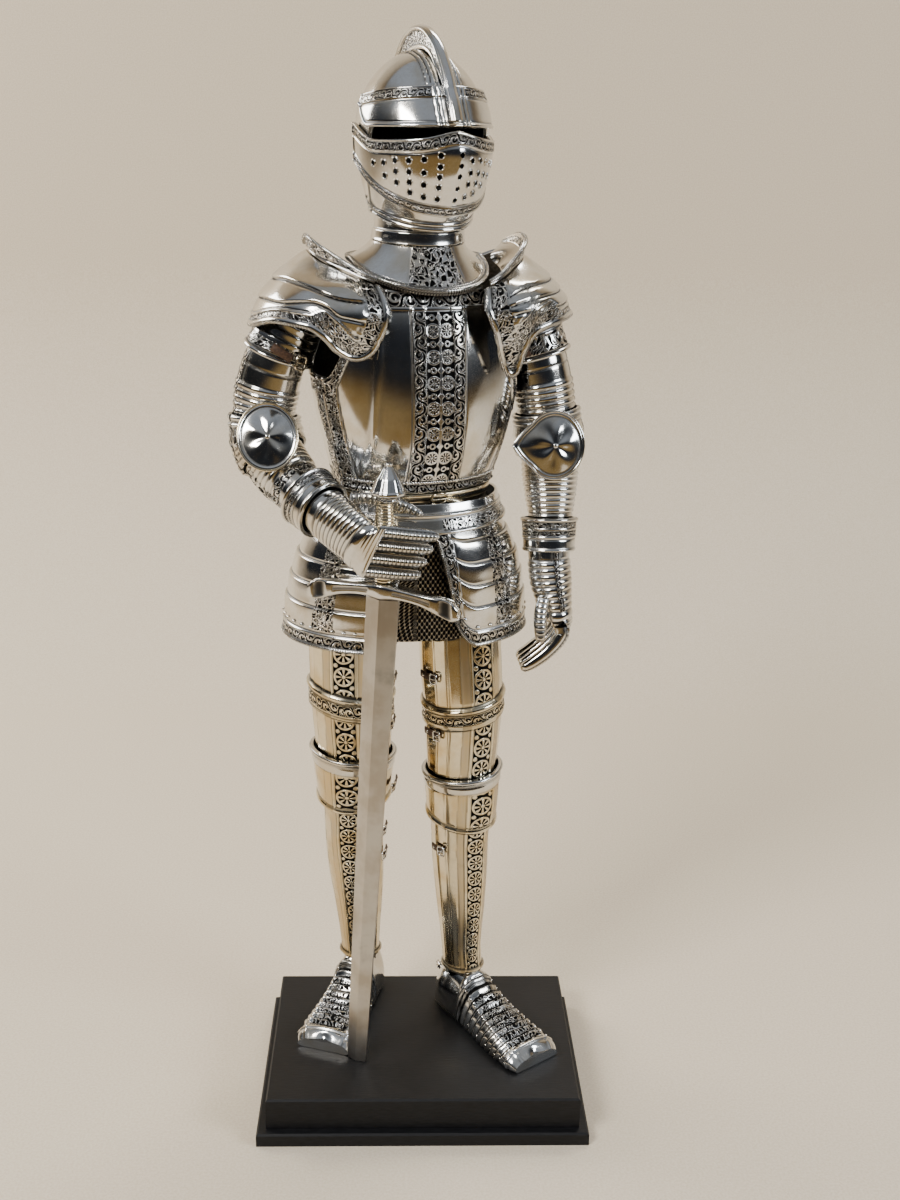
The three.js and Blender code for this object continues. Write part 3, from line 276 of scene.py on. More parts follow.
def makeMaterials():
    made = {}
    # the leg plates' yellow tone is a painted gold reflection of the stage, and the hatched strips carry it
    # darker
    legGoldReflectionTones = dict(silverTone, bright=(0.78, 0.70, 0.52), warm=(0.62, 0.48, 0.26))
    hatchGoldReflectionTones = dict(legGoldReflectionTones, bright=(0.55, 0.46, 0.31))
    mailTones = {"bright": (0.50, 0.43, 0.32), "warm": (0.42, 0.31, 0.16), "patina": (0.004, 0.004, 0.004)}
    # the inner faces of the plates get a near-black finish: painted shade inside the armour
    insideShadeTones = {"bright": (0.10, 0.095, 0.09), "warm": (0.07, 0.06, 0.05), "patina": (0.01, 0.01, 0.01)}
    bladeTones = {"bright": (0.52, 0.50, 0.47), "warm": (0.40, 0.36, 0.31), "patina": (0.05, 0.05, 0.05)}
    made["plain"] = plainPlate("polishedPlate")
    made["legPlain"] = plainPlate("polishedLegPlate", 0.12, tones=legGoldReflectionTones, wear=0.25)
    made["brushed"] = plainPlate("brushedLegPlate", 0.3, (1, 1, 0.04), hatchGoldReflectionTones, 0.0001, 0.6)
    made["gilt"] = plainPlate("warmPlate", 0.2, tones=dict(silverTone, bright=(0.80, 0.68, 0.46)))
    for key, name, pattern, tones in (
            ("scroll", "scrollBand", scrollPattern, silverTone),
            ("wheels", "rosetteBand", wheelPattern, legGoldReflectionTones),
            ("legScroll", "legScrollBand", scrollPattern, legGoldReflectionTones),
            ("fans", "fanBand", fanPattern, silverTone),
            ("foliage", "foliageBand", foliagePattern, silverTone)):
        made[key] = etchedPlate(name, pattern, tones=tones)
    made["rope"] = etchedPlate("ropedEdge", ropePattern, 0.18, bumpDepth=0.0003)
    made["mail"] = etchedPlate("ringMail", ringMailPattern, 0.3, mailTones, 0.0006)
    made["inside"] = plainPlate("plateInside", 0.45, tones=insideShadeTones)
    made["blade"] = plainPlate("bladeSteel", 0.34, (0.05, 1, 0.03), bladeTones, 0.00005, 0.5)
    made["lacquer"], tree, shader, grain = grainyMaterial(
        "blackLacquer", 240, 4, (1, 8, 8), (0.003, 0.003, 0.0035), (0.008, 0.008, 0.009), 0.00006)
    shader.inputs["Specular IOR Level"].default_value = 0.25
    tree.links.new((grain * 0.14 + 0.45).socket, shader.inputs["Roughness"])
    made["leather"], tree, shader, grain = grainyMaterial(
        "strapLeather", 1400, 5, (1, 1, 1), (0.035, 0.016, 0.008), (0.10, 0.05, 0.025), 0.0001)
    shader.inputs["Roughness"].default_value = 0.55
    return made


materials = makeMaterials()
materialNames = list(materials)


def filled(rows, columns, key):
    # one finish for every face of a grid
    return np.full((rows, columns), materialNames.index(key))


print("materials made")


def readColumn(stations, values, s):
    # smooth through the rows, straight beyond the first and last
    s = np.asarray(s, float)
    t = np.asarray(stations, float)
    v = np.asarray(values, float)
    slope = np.empty_like(v)
    slope[1:-1] = (v[2:] - v[:-2]) / (t[2:] - t[:-2])
    slope[0], slope[-1] = (v[1] - v[0]) / (t[1] - t[0]), (v[-1] - v[-2]) / (t[-1] - t[-2])
    i = np.clip(np.searchsorted(t, s, side="right") - 1, 0, len(t) - 2)
    h = t[i + 1] - t[i]
    f = (s - t[i]) / h
    inside = (v[i] * (1 + 2 * f) * (1 - f) ** 2 + v[i + 1] * f * f * (3 - 2 * f)
              + slope[i] * h * f * (1 - f) ** 2 - slope[i + 1] * h * f * f * (1 - f))
    return np.where(s < t[0], v[0] + slope[0] * (s - t[0]),
                    np.where(s > t[-1], v[-1] + slope[-1] * (s - t[-1]), inside))


def unit(v):
    return v / np.maximum(np.linalg.norm(v, axis=-1, keepdims=True), 1e-9)


class Form:
    # a stack of rings; angle 0 is the front and grows to the figure's left
    def __init__(self, columns, rows, turn=0, bent=False, faces=None, square=2, left=1):
        self.names = columns.split()
        self.rows = np.array(rows, float)
        self.bent, self.square, self.left = bent, square, left
        a = math.radians(turn)
        self.ahead = unit(np.array(faces, float)) if faces else np.array([math.sin(a), -math.cos(a), 0])

    def read(self, name, s):
        return readColumn(self.rows[:, 0], self.rows[:, self.names.index(name)], s)

    def centre(self, s):
        z = self.read("z", s) if "z" in self.names else np.asarray(s, float)
        return np.stack([self.read("x", s), self.read("y", s), z], -1)

    def base(self, s, degrees):
        a = np.radians(degrees)
        middle = self.centre(s)
        up = unit(self.centre(s + 1) - self.centre(s - 1)) if self.bent else np.broadcast_to([0.0, 0, 1],
            middle.shape)
        front = unit(self.ahead - up * (up @ self.ahead)[..., None])
        across = np.cross(up, front) * self.left
        c, n = np.cos(a), np.sin(a)
        deep = np.where(c >= 0, self.read("front", s), self.read("back", s))
        r = 1 / (np.abs(c / deep) ** self.square
                 + np.abs(n / self.read("side", s)) ** self.square) ** (1 / self.square)
        if "keel" in self.names:
            off = np.abs(((degrees % 360) + 540) % 360 - 180)
            r = r + self.read("keel", s) * np.maximum(0, 1 - off / 45)
        point = middle + front * (r * c)[..., None] + across * (r * n)[..., None]
        if "dip" in self.names:
            point[..., 2] -= self.read("dip", s) * np.maximum(0, c)
        return point

    def normal(self, s, degrees):
        around = self.base(s, degrees + 1) - self.base(s, degrees - 1)
        rise = self.base(s + 0.3, degrees) - self.base(s - 0.3, degrees)
        return unit(np.cross(around, rise)) * self.left


def blurred(field, size):
    # box blur along both ways of a grid
    for axis in (0, 1):
        n = field.shape[axis]
        k = max(1, min(size, (n - 1) // 2))
        padded = np.concatenate([np.take(field, [0] * k, axis), field, np.take(field, [n - 1] * k, axis)],
                                axis)
        total = np.cumsum(padded, axis)
        total = np.concatenate([np.zeros_like(np.take(total, [0], axis)), total], axis)
        field = (np.take(total, range(2 * k + 1, n + 2 * k + 1), axis)
                 - np.take(total, range(0, n), axis)) / (2 * k + 1)
    return field


def bend(t):
    t = np.clip(t, 0, 1)
    return t * t * (3 - 2 * t)


def dome(t):
    # half-round bead for t in -1..1
    return np.sqrt(np.clip(1 - t * t, 0, 1))


def finishPiece(name, vertices, faces, materialIndex, bandUv, dark, nodes, smooth=True):
    mesh = bpy.data.meshes.new(name)
    mesh.from_pydata((np.asarray(vertices) * mm).tolist(), [], faces)
    for key in materialNames:
        mesh.materials.append(materials[key])
    mesh.polygons.foreach_set("material_index", materialIndex)
    mesh.polygons.foreach_set("use_smooth", [smooth] * len(faces))
    layer = mesh.uv_layers.new(name="band")
    layer.data.foreach_set("uv", np.asarray(bandUv, np.float32).ravel())
    attribute = mesh.attributes.new("dark", "FLOAT", "POINT")
    attribute.data.foreach_set("value", np.asarray(dark, np.float32))
    mesh.validate()
    piece = bpy.data.objects.new(name, mesh)
    bpy.context.collection.objects.link(piece)
    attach(piece, "root")
    if nodes:
        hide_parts(*nodes)
    return piece


class Sheets:
    # gathers grids of points into one piece
    def __init__(self):
        self.points, self.faces, self.index, self.uv, self.dark, self.count = [], [], [], [], [], 0

    def grid(self, points, dark, around=False, flip=False, zone=None, coordinates=None, keep=None):
        # points is rows x columns; zone gives a material index for each face,
        # coordinates a p,q pair for each corner
        rows, columns = points.shape[:2]
        j = np.arange(columns if around else columns - 1)
        i = np.arange(rows - 1)
        I, J = np.meshgrid(i, j, indexing="ij")
        K = (J + 1) % columns
        quads = np.stack([I * columns + J, I * columns + K, (I + 1) * columns + K, (I + 1) * columns + J], -1)
        zone = np.zeros(I.shape, int) if zone is None else zone
        if coordinates is None:
            coordinates = np.zeros((rows, columns + 1, 2))
        corners = np.stack([coordinates[I, J], coordinates[I, J + 1], coordinates[I + 1, J + 1],
                            coordinates[I + 1, J]], -2)
        if flip:
            quads, corners = quads[..., ::-1], corners[..., ::-1, :]
        pick = np.ones(I.shape, bool) if keep is None else keep
        self.faces += (quads[pick] + self.count).tolist()
        self.index += zone[pick].tolist()
        self.uv.append(corners[pick].reshape(-1, 2))
        self.points.append(points.reshape(-1, 3))
        self.dark.append(np.broadcast_to(dark, (rows, columns)).ravel())
        self.count += rows * columns

    def solid(self, points, faces, key, dark=0.0):
        # any closed body of points and faces in one finish
        points = np.asarray(points, float)
        self.faces += [[v + self.count for v in face] for face in faces]
        self.index += [materialNames.index(key)] * len(faces)
        for face in faces:
            self.uv.append(np.stack([points[face][:, 0] * 0.5, points[face][:, 2] * 0.5], -1))
        self.points.append(points)
        self.dark.append(np.full(len(points), dark))
        self.count += len(points)

    def caps(self, rings, key, mirrored=False, dark=0.0):
        # closes both ends of a row of rings
        face = list(range(rings.shape[1]))
        self.solid(rings[0], [face if mirrored else face[::-1]], key, dark)
        self.solid(rings[-1], [face[::-1] if mirrored else face], key, dark)

    def finish(self, name, nodes):
        return finishPiece(name, np.concatenate(self.points), self.faces, self.index, np.concatenate(self.uv),
                           np.concatenate(self.dark), nodes)


def lineUp(marks, step):
    # values from 0 to 1 that hold every mark and are no further apart than step
    marks = sorted(set([0.0, 1.0] + [min(1, max(0, m)) for m in marks]))
    out = [0.0]
    for a, b in zip(marks, marks[1:]):
        n = max(1, int(math.ceil((b - a) / step)))
        out += [a + (b - a) * k / n for k in range(1, n + 1)]
    return np.array(out)


def layPlate(sheets, form, lo, hi, span=None, step=0.6, wall=plateWall, lift=0.0, relief=None, zones=(),
             marks=(),
             base="plain", holes=(), contrast=1.0):
    # lo and hi are stations or functions of the angle; span is degrees, or a function of v
    whole = span is None
    spanAt = span if callable(span) else (lambda v: span)
    first, last = (0, 360) if whole else spanAt(0.5)
    value = lambda f, a: f(a) if callable(f) else np.full_like(a, float(f))
    probe = np.linspace(first, last, 25)
    loAt, hiAt = value(lo, probe), value(hi, probe)
    ring = form.base((loAt + hiAt) / 2, probe)
    girth = np.linalg.norm(np.diff(ring, axis=0), axis=1).sum()
    up = np.linalg.norm(form.base(hiAt, probe) - form.base(loAt, probe), axis=1).max()
    uStep, vStep = step if isinstance(step, tuple) else (step, step)
    us = lineUp([], uStep / girth)
    vs = lineUp(marks, vStep / up)
    # the sheet is carried round its edges to the inner face
    vList = np.concatenate([[0, 0, 0], vs, [1, 1, 1]])
    vDepth = np.concatenate([[wall, wall * 0.5, 0.12], np.zeros(len(vs)), [0.12, wall * 0.5, wall]])
    if whole:
        uList, uDepth = us[:-1], np.zeros(len(us) - 1)
    else:
        uList = np.concatenate([[0, 0, 0], us, [1, 1, 1]])
        uDepth = np.concatenate([[wall, wall * 0.5, 0.12], np.zeros(len(us)), [0.12, wall * 0.5, wall]])
    V, U = np.meshgrid(vList, uList, indexing="ij")
    depth = np.maximum(vDepth[:, None], uDepth[None, :])

    def place(U, V):
        if whole:
            A = U * 360
        else:
            ends = np.array([spanAt(v) for v in V[:, 0]])
            A = ends[:, :1] + (ends[:, 1:] - ends[:, :1]) * U
        low, high = value(lo, A), value(hi, A)
        return A, low + (high - low) * V, low, high

    A, S, low, high = place(U, V)
    turned = ((A + 180) % 360) - 180
    flat = form.base(S, A)
    widths = np.linalg.norm(np.diff(flat, axis=1), axis=2)
    along = np.concatenate([np.zeros((len(vList), 1)), np.cumsum(widths, 1)], 1)
    total = along[:, -1:] + (np.linalg.norm(flat[:, -1] - flat[:, 0], axis=1)[:, None] if whole else 0)
    grid = {"u": U, "v": V, "a": turned, "s": S, "low": S - low, "high": high - S, "first": along,
            "last": total - along}
    # distance from the front line, to the figure's left
    zero = np.array([np.interp(0, A[i], along[i]) if A[i].min() <= 0 <= A[i].max() else along[i][-1] / 2
                     for i in range(len(A))])
    grid["side"] = np.where(turned < 0, along - total, along) if whole else along - zero[:, None]
    rise = np.zeros_like(U) if relief is None else relief(grid) + np.zeros_like(U)
    normal = form.normal(S, A)
    points = flat + normal * (lift + rise - depth)[..., None]
    size = max(1, int(round(0.9 / vStep)))
    patinaAndEdgeShade = np.clip((blurred(rise, size) - rise) * 3.2 * contrast, 0, 1)
    # the edge row turned to the inner face is darkened as painted shade
    patinaAndEdgeShade[depth > 0.6 * wall] = 0.7
    zone = filled(len(vList) - 1, len(uList) - (0 if whole else 1), base)
    coordinates = np.zeros((len(vList), len(uList) + 1, 2))
    close = lambda g, wrap: np.concatenate([g, wrap if whole else g[:, -1:]], 1)
    cornerA = close(grid["first"], total)
    coordinates[..., 0], coordinates[..., 1] = cornerA, close(S, S[:, :1])
    faceGrid = {}
    for key, g in grid.items():
        full = close(g, g[:, :1])
        corner = np.stack([full[:-1, :-1], full[1:, :-1]])
        nxt = np.stack([full[:-1, 1:], full[1:, 1:]])
        if key in ("a", "side"):
            nxt = np.where(np.abs(nxt - corner) > 180, corner, nxt)
        middle = (corner.mean(0) + nxt.mean(0)) / 2
        faceGrid[key] = middle if whole else middle[:, :-1]
    for key, inside, p, q in zones:
        mask = inside(faceGrid)
        zone[mask] = materialNames.index(key)
        touched = np.zeros(coordinates.shape[:2], bool)
        for di in (0, 1):
            for dj in (0, 1):
                touched[di:di + mask.shape[0], dj:dj + mask.shape[1]] |= mask
        for k, read in enumerate((p, q)):
            values = read(grid)
            coordinates[touched, k] = close(values, values[:, :1])[touched]
    keep = None
    if holes:
        gone = np.zeros(zone.shape, bool)
        middle = (points[:-1, :-1] + points[1:, :-1] + points[:-1, 1:] + points[1:, 1:]) / 4
        for spot, r in holes:
            gone |= np.linalg.norm(middle - spot, axis=2) < r
        keep = ~gone
    sheets.grid(points, patinaAndEdgeShade, whole, form.left < 0, zone, coordinates, keep)
    if not holes:
        iu = np.linspace(0, 1, max(8, int(girth / 3.5)))
        iv = np.linspace(0, 1, max(3, int(up / 5)))
        iV, iU = np.meshgrid(iv, iu[:-1] if whole else iu, indexing="ij")
        iA, iS = place(iU, iV)[:2]
        insidePoints = form.base(iS, iA) + form.normal(iS, iA) * (lift - wall)
        zone = filled(len(iv) - 1, len(iu) - 1, "inside")
        # the inner sheet is darkened as painted shade on top of its near-black finish
        sheets.grid(insidePoints, 0.6, whole, form.left > 0, zone)


def ribbon(sheets, points, across, normals, width, thick, key):
    # a flat strap with eased edges along a line of points
    section = [(-1, -0.4), (-1, 0.5), (-0.86, 1), (0.86, 1), (1, 0.5), (1, -0.4)]
    width = width if np.ndim(width) else np.full(len(points), width)
    grid = np.stack([points + across * (x * width / 2)[:, None] + normals * (y * thick) for x, y in section],
                    1)
    length = np.concatenate([[0], np.cumsum(np.linalg.norm(np.diff(points, axis=0), axis=1))])
    coordinates = np.zeros((len(points), 7, 2))
    coordinates[..., 0] = (length / width.mean())[:, None]
    coordinates[..., 1] = [0, 0.05, 0.1, 0.9, 0.95, 1, 1]
    sheets.grid(grid, 0, True, True, filled(len(points) - 1, 6, key), coordinates)
    sheets.caps(grid, key)


def strapOn(sheets, form, start, stop, lift, width, key="leather", thick=0.5):
    # a strap laid on a form from one (station, angle) to another
    t = np.linspace(0, 1, 14)
    s = start[0] + (stop[0] - start[0]) * t
    a = start[1] + (stop[1] - start[1]) * t
    points, normals = onForm(form, s, a, lift)
    along = unit(np.gradient(points, axis=0))
    ribbon(sheets, points, np.cross(along, normals), normals, width, thick, key)


def buckleOn(sheets, form, s, a, lift, wide, tall, r=0.42, key="plain"):
    # a square frame with a tongue, laid on a form
    spot, out = onForm(form, s, a, lift)
    spot, out = spot[0], out[0]
    up = unit(onForm(form, s + 1, a, lift)[0][0] - spot)
    side = np.cross(up, out)
    corner = [(-1, -0.7), (-0.7, -1), (0.7, -1), (1, -0.7), (1, 0.7), (0.7, 1), (-0.7, 1), (-1, 0.7)]
    frameLine = []
    for i, (x, y) in enumerate(corner):
        nx, ny = corner[(i + 1) % 8]
        for f in (0, 0.5):
            frameLine.append(spot + side * (x + (nx - x) * f) * wide / 2 + up * (y + (ny - y) * f) * tall / 2)
    tube(sheets, np.array(frameLine), r, key, 6, True)
    tube(sheets, np.array([spot - side * wide / 2, spot + out * 0.5, spot + side * wide * 0.55 + out * 0.1]),
         r * 0.7, key, 6)


def layShell(sheets, points, wall, coordinates=None, around=False, zone=None, dark=0.0, flip=False,
             twoSided=False):
    # a plate on any grid of points, with a back in the near-black inside finish darkened as painted shade
    # unless both faces are dressed
    across = np.roll(points, -1, 1) - np.roll(points, 1, 1) if around else np.gradient(points, axis=1)
    normal = unit(np.cross(across, np.gradient(points, axis=0))) * (-1 if flip else 1)
    rows, columns = points.shape[:2]
    plates = rows - 1, columns - (0 if around else 1)
    zone = filled(*plates, "plain") if zone is None else zone
    sheets.grid(points, dark, around, flip, zone, coordinates)
    # the back is darkened as painted shade, and the thin edge strips faintly
    back = points - normal * wall
    if twoSided:
        sheets.grid(back, 0.0, around, not flip, zone, coordinates)
    else:
        sheets.grid(back, 0.4, around, not flip, filled(*plates, "inside"))
    edge = lambda a, b, mirror: sheets.grid(np.stack([a, b]), 0.2, False, mirror,
                                            filled(1, len(a) - 1, "plain"))
    wrap = (lambda line: np.concatenate([line, line[:1]])) if around else (lambda line: line)
    edge(wrap(back[0]), wrap(points[0]), flip)
    edge(wrap(points[-1]), wrap(back[-1]), flip)
    if not around:
        edge(back[:, 0], points[:, 0], not flip)
        edge(points[:, -1], back[:, -1], not flip)


# reliefs that the plates share
def lames(count, rise, sharp=0.07):
    # overlapping strips: each swells to its upper edge and drops behind it
    def shape(g):
        t = g["v"] * count
        f = t - np.floor(t)
        last = g["v"] > 1 - 1e-6
        f = np.where(last, 1, f)
        return rise * np.where(f > 1 - sharp, (1 - f) / sharp * 0.9 + 0.1,
                               bend(f / (1 - sharp)) * 0.75 + 0.25)
    return shape


def lameMarks(count, sharp=0.07):
    return [i / count for i in range(count + 1)] + [(i + 1 - sharp) / count for i in range(count)] + \
        [(i + 1 - sharp * 2.2) / count for i in range(count)] + [(i + 0.06) / count for i in range(count)]


def roll(distance, width, height):
    return height * dome((distance - width / 2) / (width / 2)) * (distance < width)


def groove(distance, width, depth):
    return -depth * np.exp(-(distance / width) ** 2)


def bead(sheets, spots, normals, size, key="plain", tall=0.7):
    # small round-headed rivets at the given points
    n = 8
    turns = [2 * math.pi * j / n for j in range(n)]
    faces = [[i * n + j, i * n + (j + 1) % n, (i + 1) * n + (j + 1) % n, (i + 1) * n + j] for i in range(2)
             for j in range(n)]
    faces += [[2 * n + j, 2 * n + (j + 1) % n, 3 * n] for j in range(n)]
    for spot, out in zip(spots, normals):
        out = unit(np.asarray(out, float))
        side = unit(np.cross(out, [0.13, 0.21, 0.97]))
        other = np.cross(out, side)
        points = [np.asarray(spot) + size * (r * (math.cos(a) * side + math.sin(a) * other) + h * tall * out)
                  for r, h in ((1.0, 0.0), (0.86, 0.5), (0.5, 0.86)) for a in turns]
        points.append(np.asarray(spot) + size * tall * out)
        sheets.solid(points, faces, key)


def onForm(form, s, degrees, lift):
    s, degrees = np.atleast_1d(np.asarray(s, float)), np.atleast_1d(np.asarray(degrees, float))
    s, degrees = np.broadcast_arrays(s, degrees)
    n = form.normal(s, degrees)
    return form.base(s, degrees) + n * lift, n


def tube(sheets, path, r, key="plain", sides=8, closed=False, pitch=None):
    # a rolled wire along a line of points
    path = np.asarray(path, float)
    n = len(path)
    ahead = np.roll(path, -1, 0) - np.roll(path, 1, 0)
    if not closed:
        ahead[0], ahead[-1] = path[1] - path[0], path[-1] - path[-2]
    ahead = unit(ahead)
    guide = np.array([0.05, 0.1, 1.0]) if abs(ahead[:, 2]).mean() < 0.8 else np.array([0.1, 1.0, 0.05])
    up = unit(guide - ahead * (ahead @ guide)[:, None])
    across = np.cross(ahead, up)
    a = np.linspace(0, 2 * math.pi, sides, endpoint=False)
    radii = r if np.ndim(r) else np.full(n, r)
    spokes = np.cos(a)[None, :, None] * across[:, None] + np.sin(a)[None, :, None] * up[:, None]
    ring = path[:, None] + radii[:, None, None] * spokes
    length = np.concatenate([[0], np.cumsum(np.linalg.norm(np.diff(path, axis=0), axis=1))])
    if closed:
        ring = np.concatenate([ring, ring[:1]])
        length = np.append(length, length[-1] + np.linalg.norm(path[0] - path[-1]))
    coordinates = np.zeros((len(ring), sides + 1, 2))
    coordinates[..., 0] = (length / (pitch or 2 * radii.mean()))[:, None]
    coordinates[..., 1] = np.linspace(0, 1, sides + 1)[None]
    zone = filled(len(ring) - 1, sides, key)
    sheets.grid(ring, 0, True, True, zone, coordinates)
    if not closed:
        sheets.caps(ring, key)


print("tools ready")


def dressNode(name, key):
    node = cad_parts[name]
    node.data.materials.clear()
    node.data.materials.append(materials[key])


dressNode("plinth", "lacquer")
dressNode("sword_blade", "blade")


def offAngle(g, angle):
    return (g["a"] - angle + 180) % 360 - 180


def lowBand(key, start, width, inside=None):
    # a band of etching from start to start + width above the lower edge
    return (key, lambda g: (g["low"] > start) & (g["low"] < start + width)
            & (True if inside is None else inside(g)),
            lambda g: g["first"] / width, lambda g: (g["low"] - start) / width)


def highBand(key, start, width, inside=None):
    return (key, lambda g: (g["high"] > start) & (g["high"] < start + width)
            & (True if inside is None else inside(g)),
            lambda g: g["first"] / width, lambda g: (g["high"] - start) / width)


def patch(key, inside, along, pitch, up="s", rise=None):
    # any part of a plate, its pattern laid along two of the plate's measures
    return key, inside, lambda g: g[along] / pitch, lambda g: g[up] / (rise or pitch)


def uprightBand(key, middle, width, inside=None):
    # a band that runs up the plate, centred a distance to the figure's left of its front line
    return (key, lambda g: (np.abs(g["side"] - middle) < width / 2) & (True if inside is None else inside(g)),
            lambda g: g["s"] / width, lambda g: (g["side"] - middle) / width + 0.5)


def sideBand(key, edge, start, width, inside=None):
    # a band along one upright edge of an open plate
    return (key, lambda g: (g[edge] > start) & (g[edge] < start + width)
            & (True if inside is None else inside(g)),
            lambda g: g["s"] / width, lambda g: (g[edge] - start) / width)


def stripBand(key, angle, half, size, inside=None):
    # a band that runs the length of a limb at one angle
    return (key, lambda g: (np.abs(offAngle(g, angle)) < half) & (True if inside is None else inside(g)),
            lambda g: g["s"] / size, lambda g: offAngle(g, angle) / (2 * half) + 0.5)


def taperBand(key, width, inside=None):
    # a band up the front line whose width follows the height
    return (key, lambda g: (np.abs(g["side"]) < width(g["s"]) / 2) & (True if inside is None else inside(g)),
            lambda g: g["s"] / width(g["s"]).mean(), lambda g: g["side"] / width(g["s"]) + 0.5)


helm = Form("at x y side front back keel", [
    [374, -5, 20, 18.4, 19.8, 19, 0.3], [380, -5, 20, 18.9, 21.4, 19.4, 0.7],
    [386, -5, 20, 20.6, 24.2, 20.8, 1.2],
    [394, -5, 20, 22.6, 28, 23.6, 1.8], [402, -5, 20, 24.2, 30.6, 26, 2.4],
    [409, -5, 20, 25, 31.4, 27.6, 2.2],
    [416, -5, 20, 25, 29, 28.2, 1], [423, -5, 20, 23.8, 26, 27.4, 0.2], [430, -5, 20, 20.6, 22.6, 24.4, 0],
    [436, -5, 20, 16.2, 18, 19.6, 0], [440.5, -5, 20, 10.8, 12.4, 13.2, 0], [442.9, -5, 20, 5.4, 6.2, 6.6, 0],
    [443.6, -5, 20, 2, 2.2, 2.4, 0]], headTurn)
helmMiddle = np.array([-5.0, 20, 0])
helmAhead = np.array([math.sin(math.radians(headTurn)), -math.cos(math.radians(headTurn)), 0])
helmAcross = np.array([-helmAhead[1], helmAhead[0], 0])
fromFront = lambda a: np.abs(((np.asarray(a, float) + 180) % 360) - 180)

helmetLooks = {
    "breathRadius": 1.15, "breathLip": 0.24, "lowBand": 2.4, "highBand": 3.2, "browBand": 2.9,
    "ridges": ((4.5, 0.75, 0.5), (6.3, 0.65, 0.42)),
    "breaths": {
        -10.8: [406.2, 402.4, 398.9, 395.2, 391.1], -20.8: [404.8, 400.2, 396.1, 391.8],
        -31: [404.3, 400.4, 396.8, 393.2],
        -41.7: [404.2, 400.4, 396.4], -53: [403.2, 398.6], -65: [402.9],
        1.5: [406.4, 402.9, 399.2, 395, 390.9], 9.7: [404.6, 400.4, 396.4, 391.9],
        17.3: [404.6, 400.2, 396.6, 393.1],
        25: [404, 399.6, 395.8], 34: [403.4, 399], 43: [403]},
}


def combRidges(d):
    # mouldings that run along both sides of the comb
    total = 0.0
    for at, width, height in helmetLooks["ridges"]:
        total = total + height * dome((d - at) / width) + groove(d - at - width - 0.15, 0.25, 0.2)
    return total


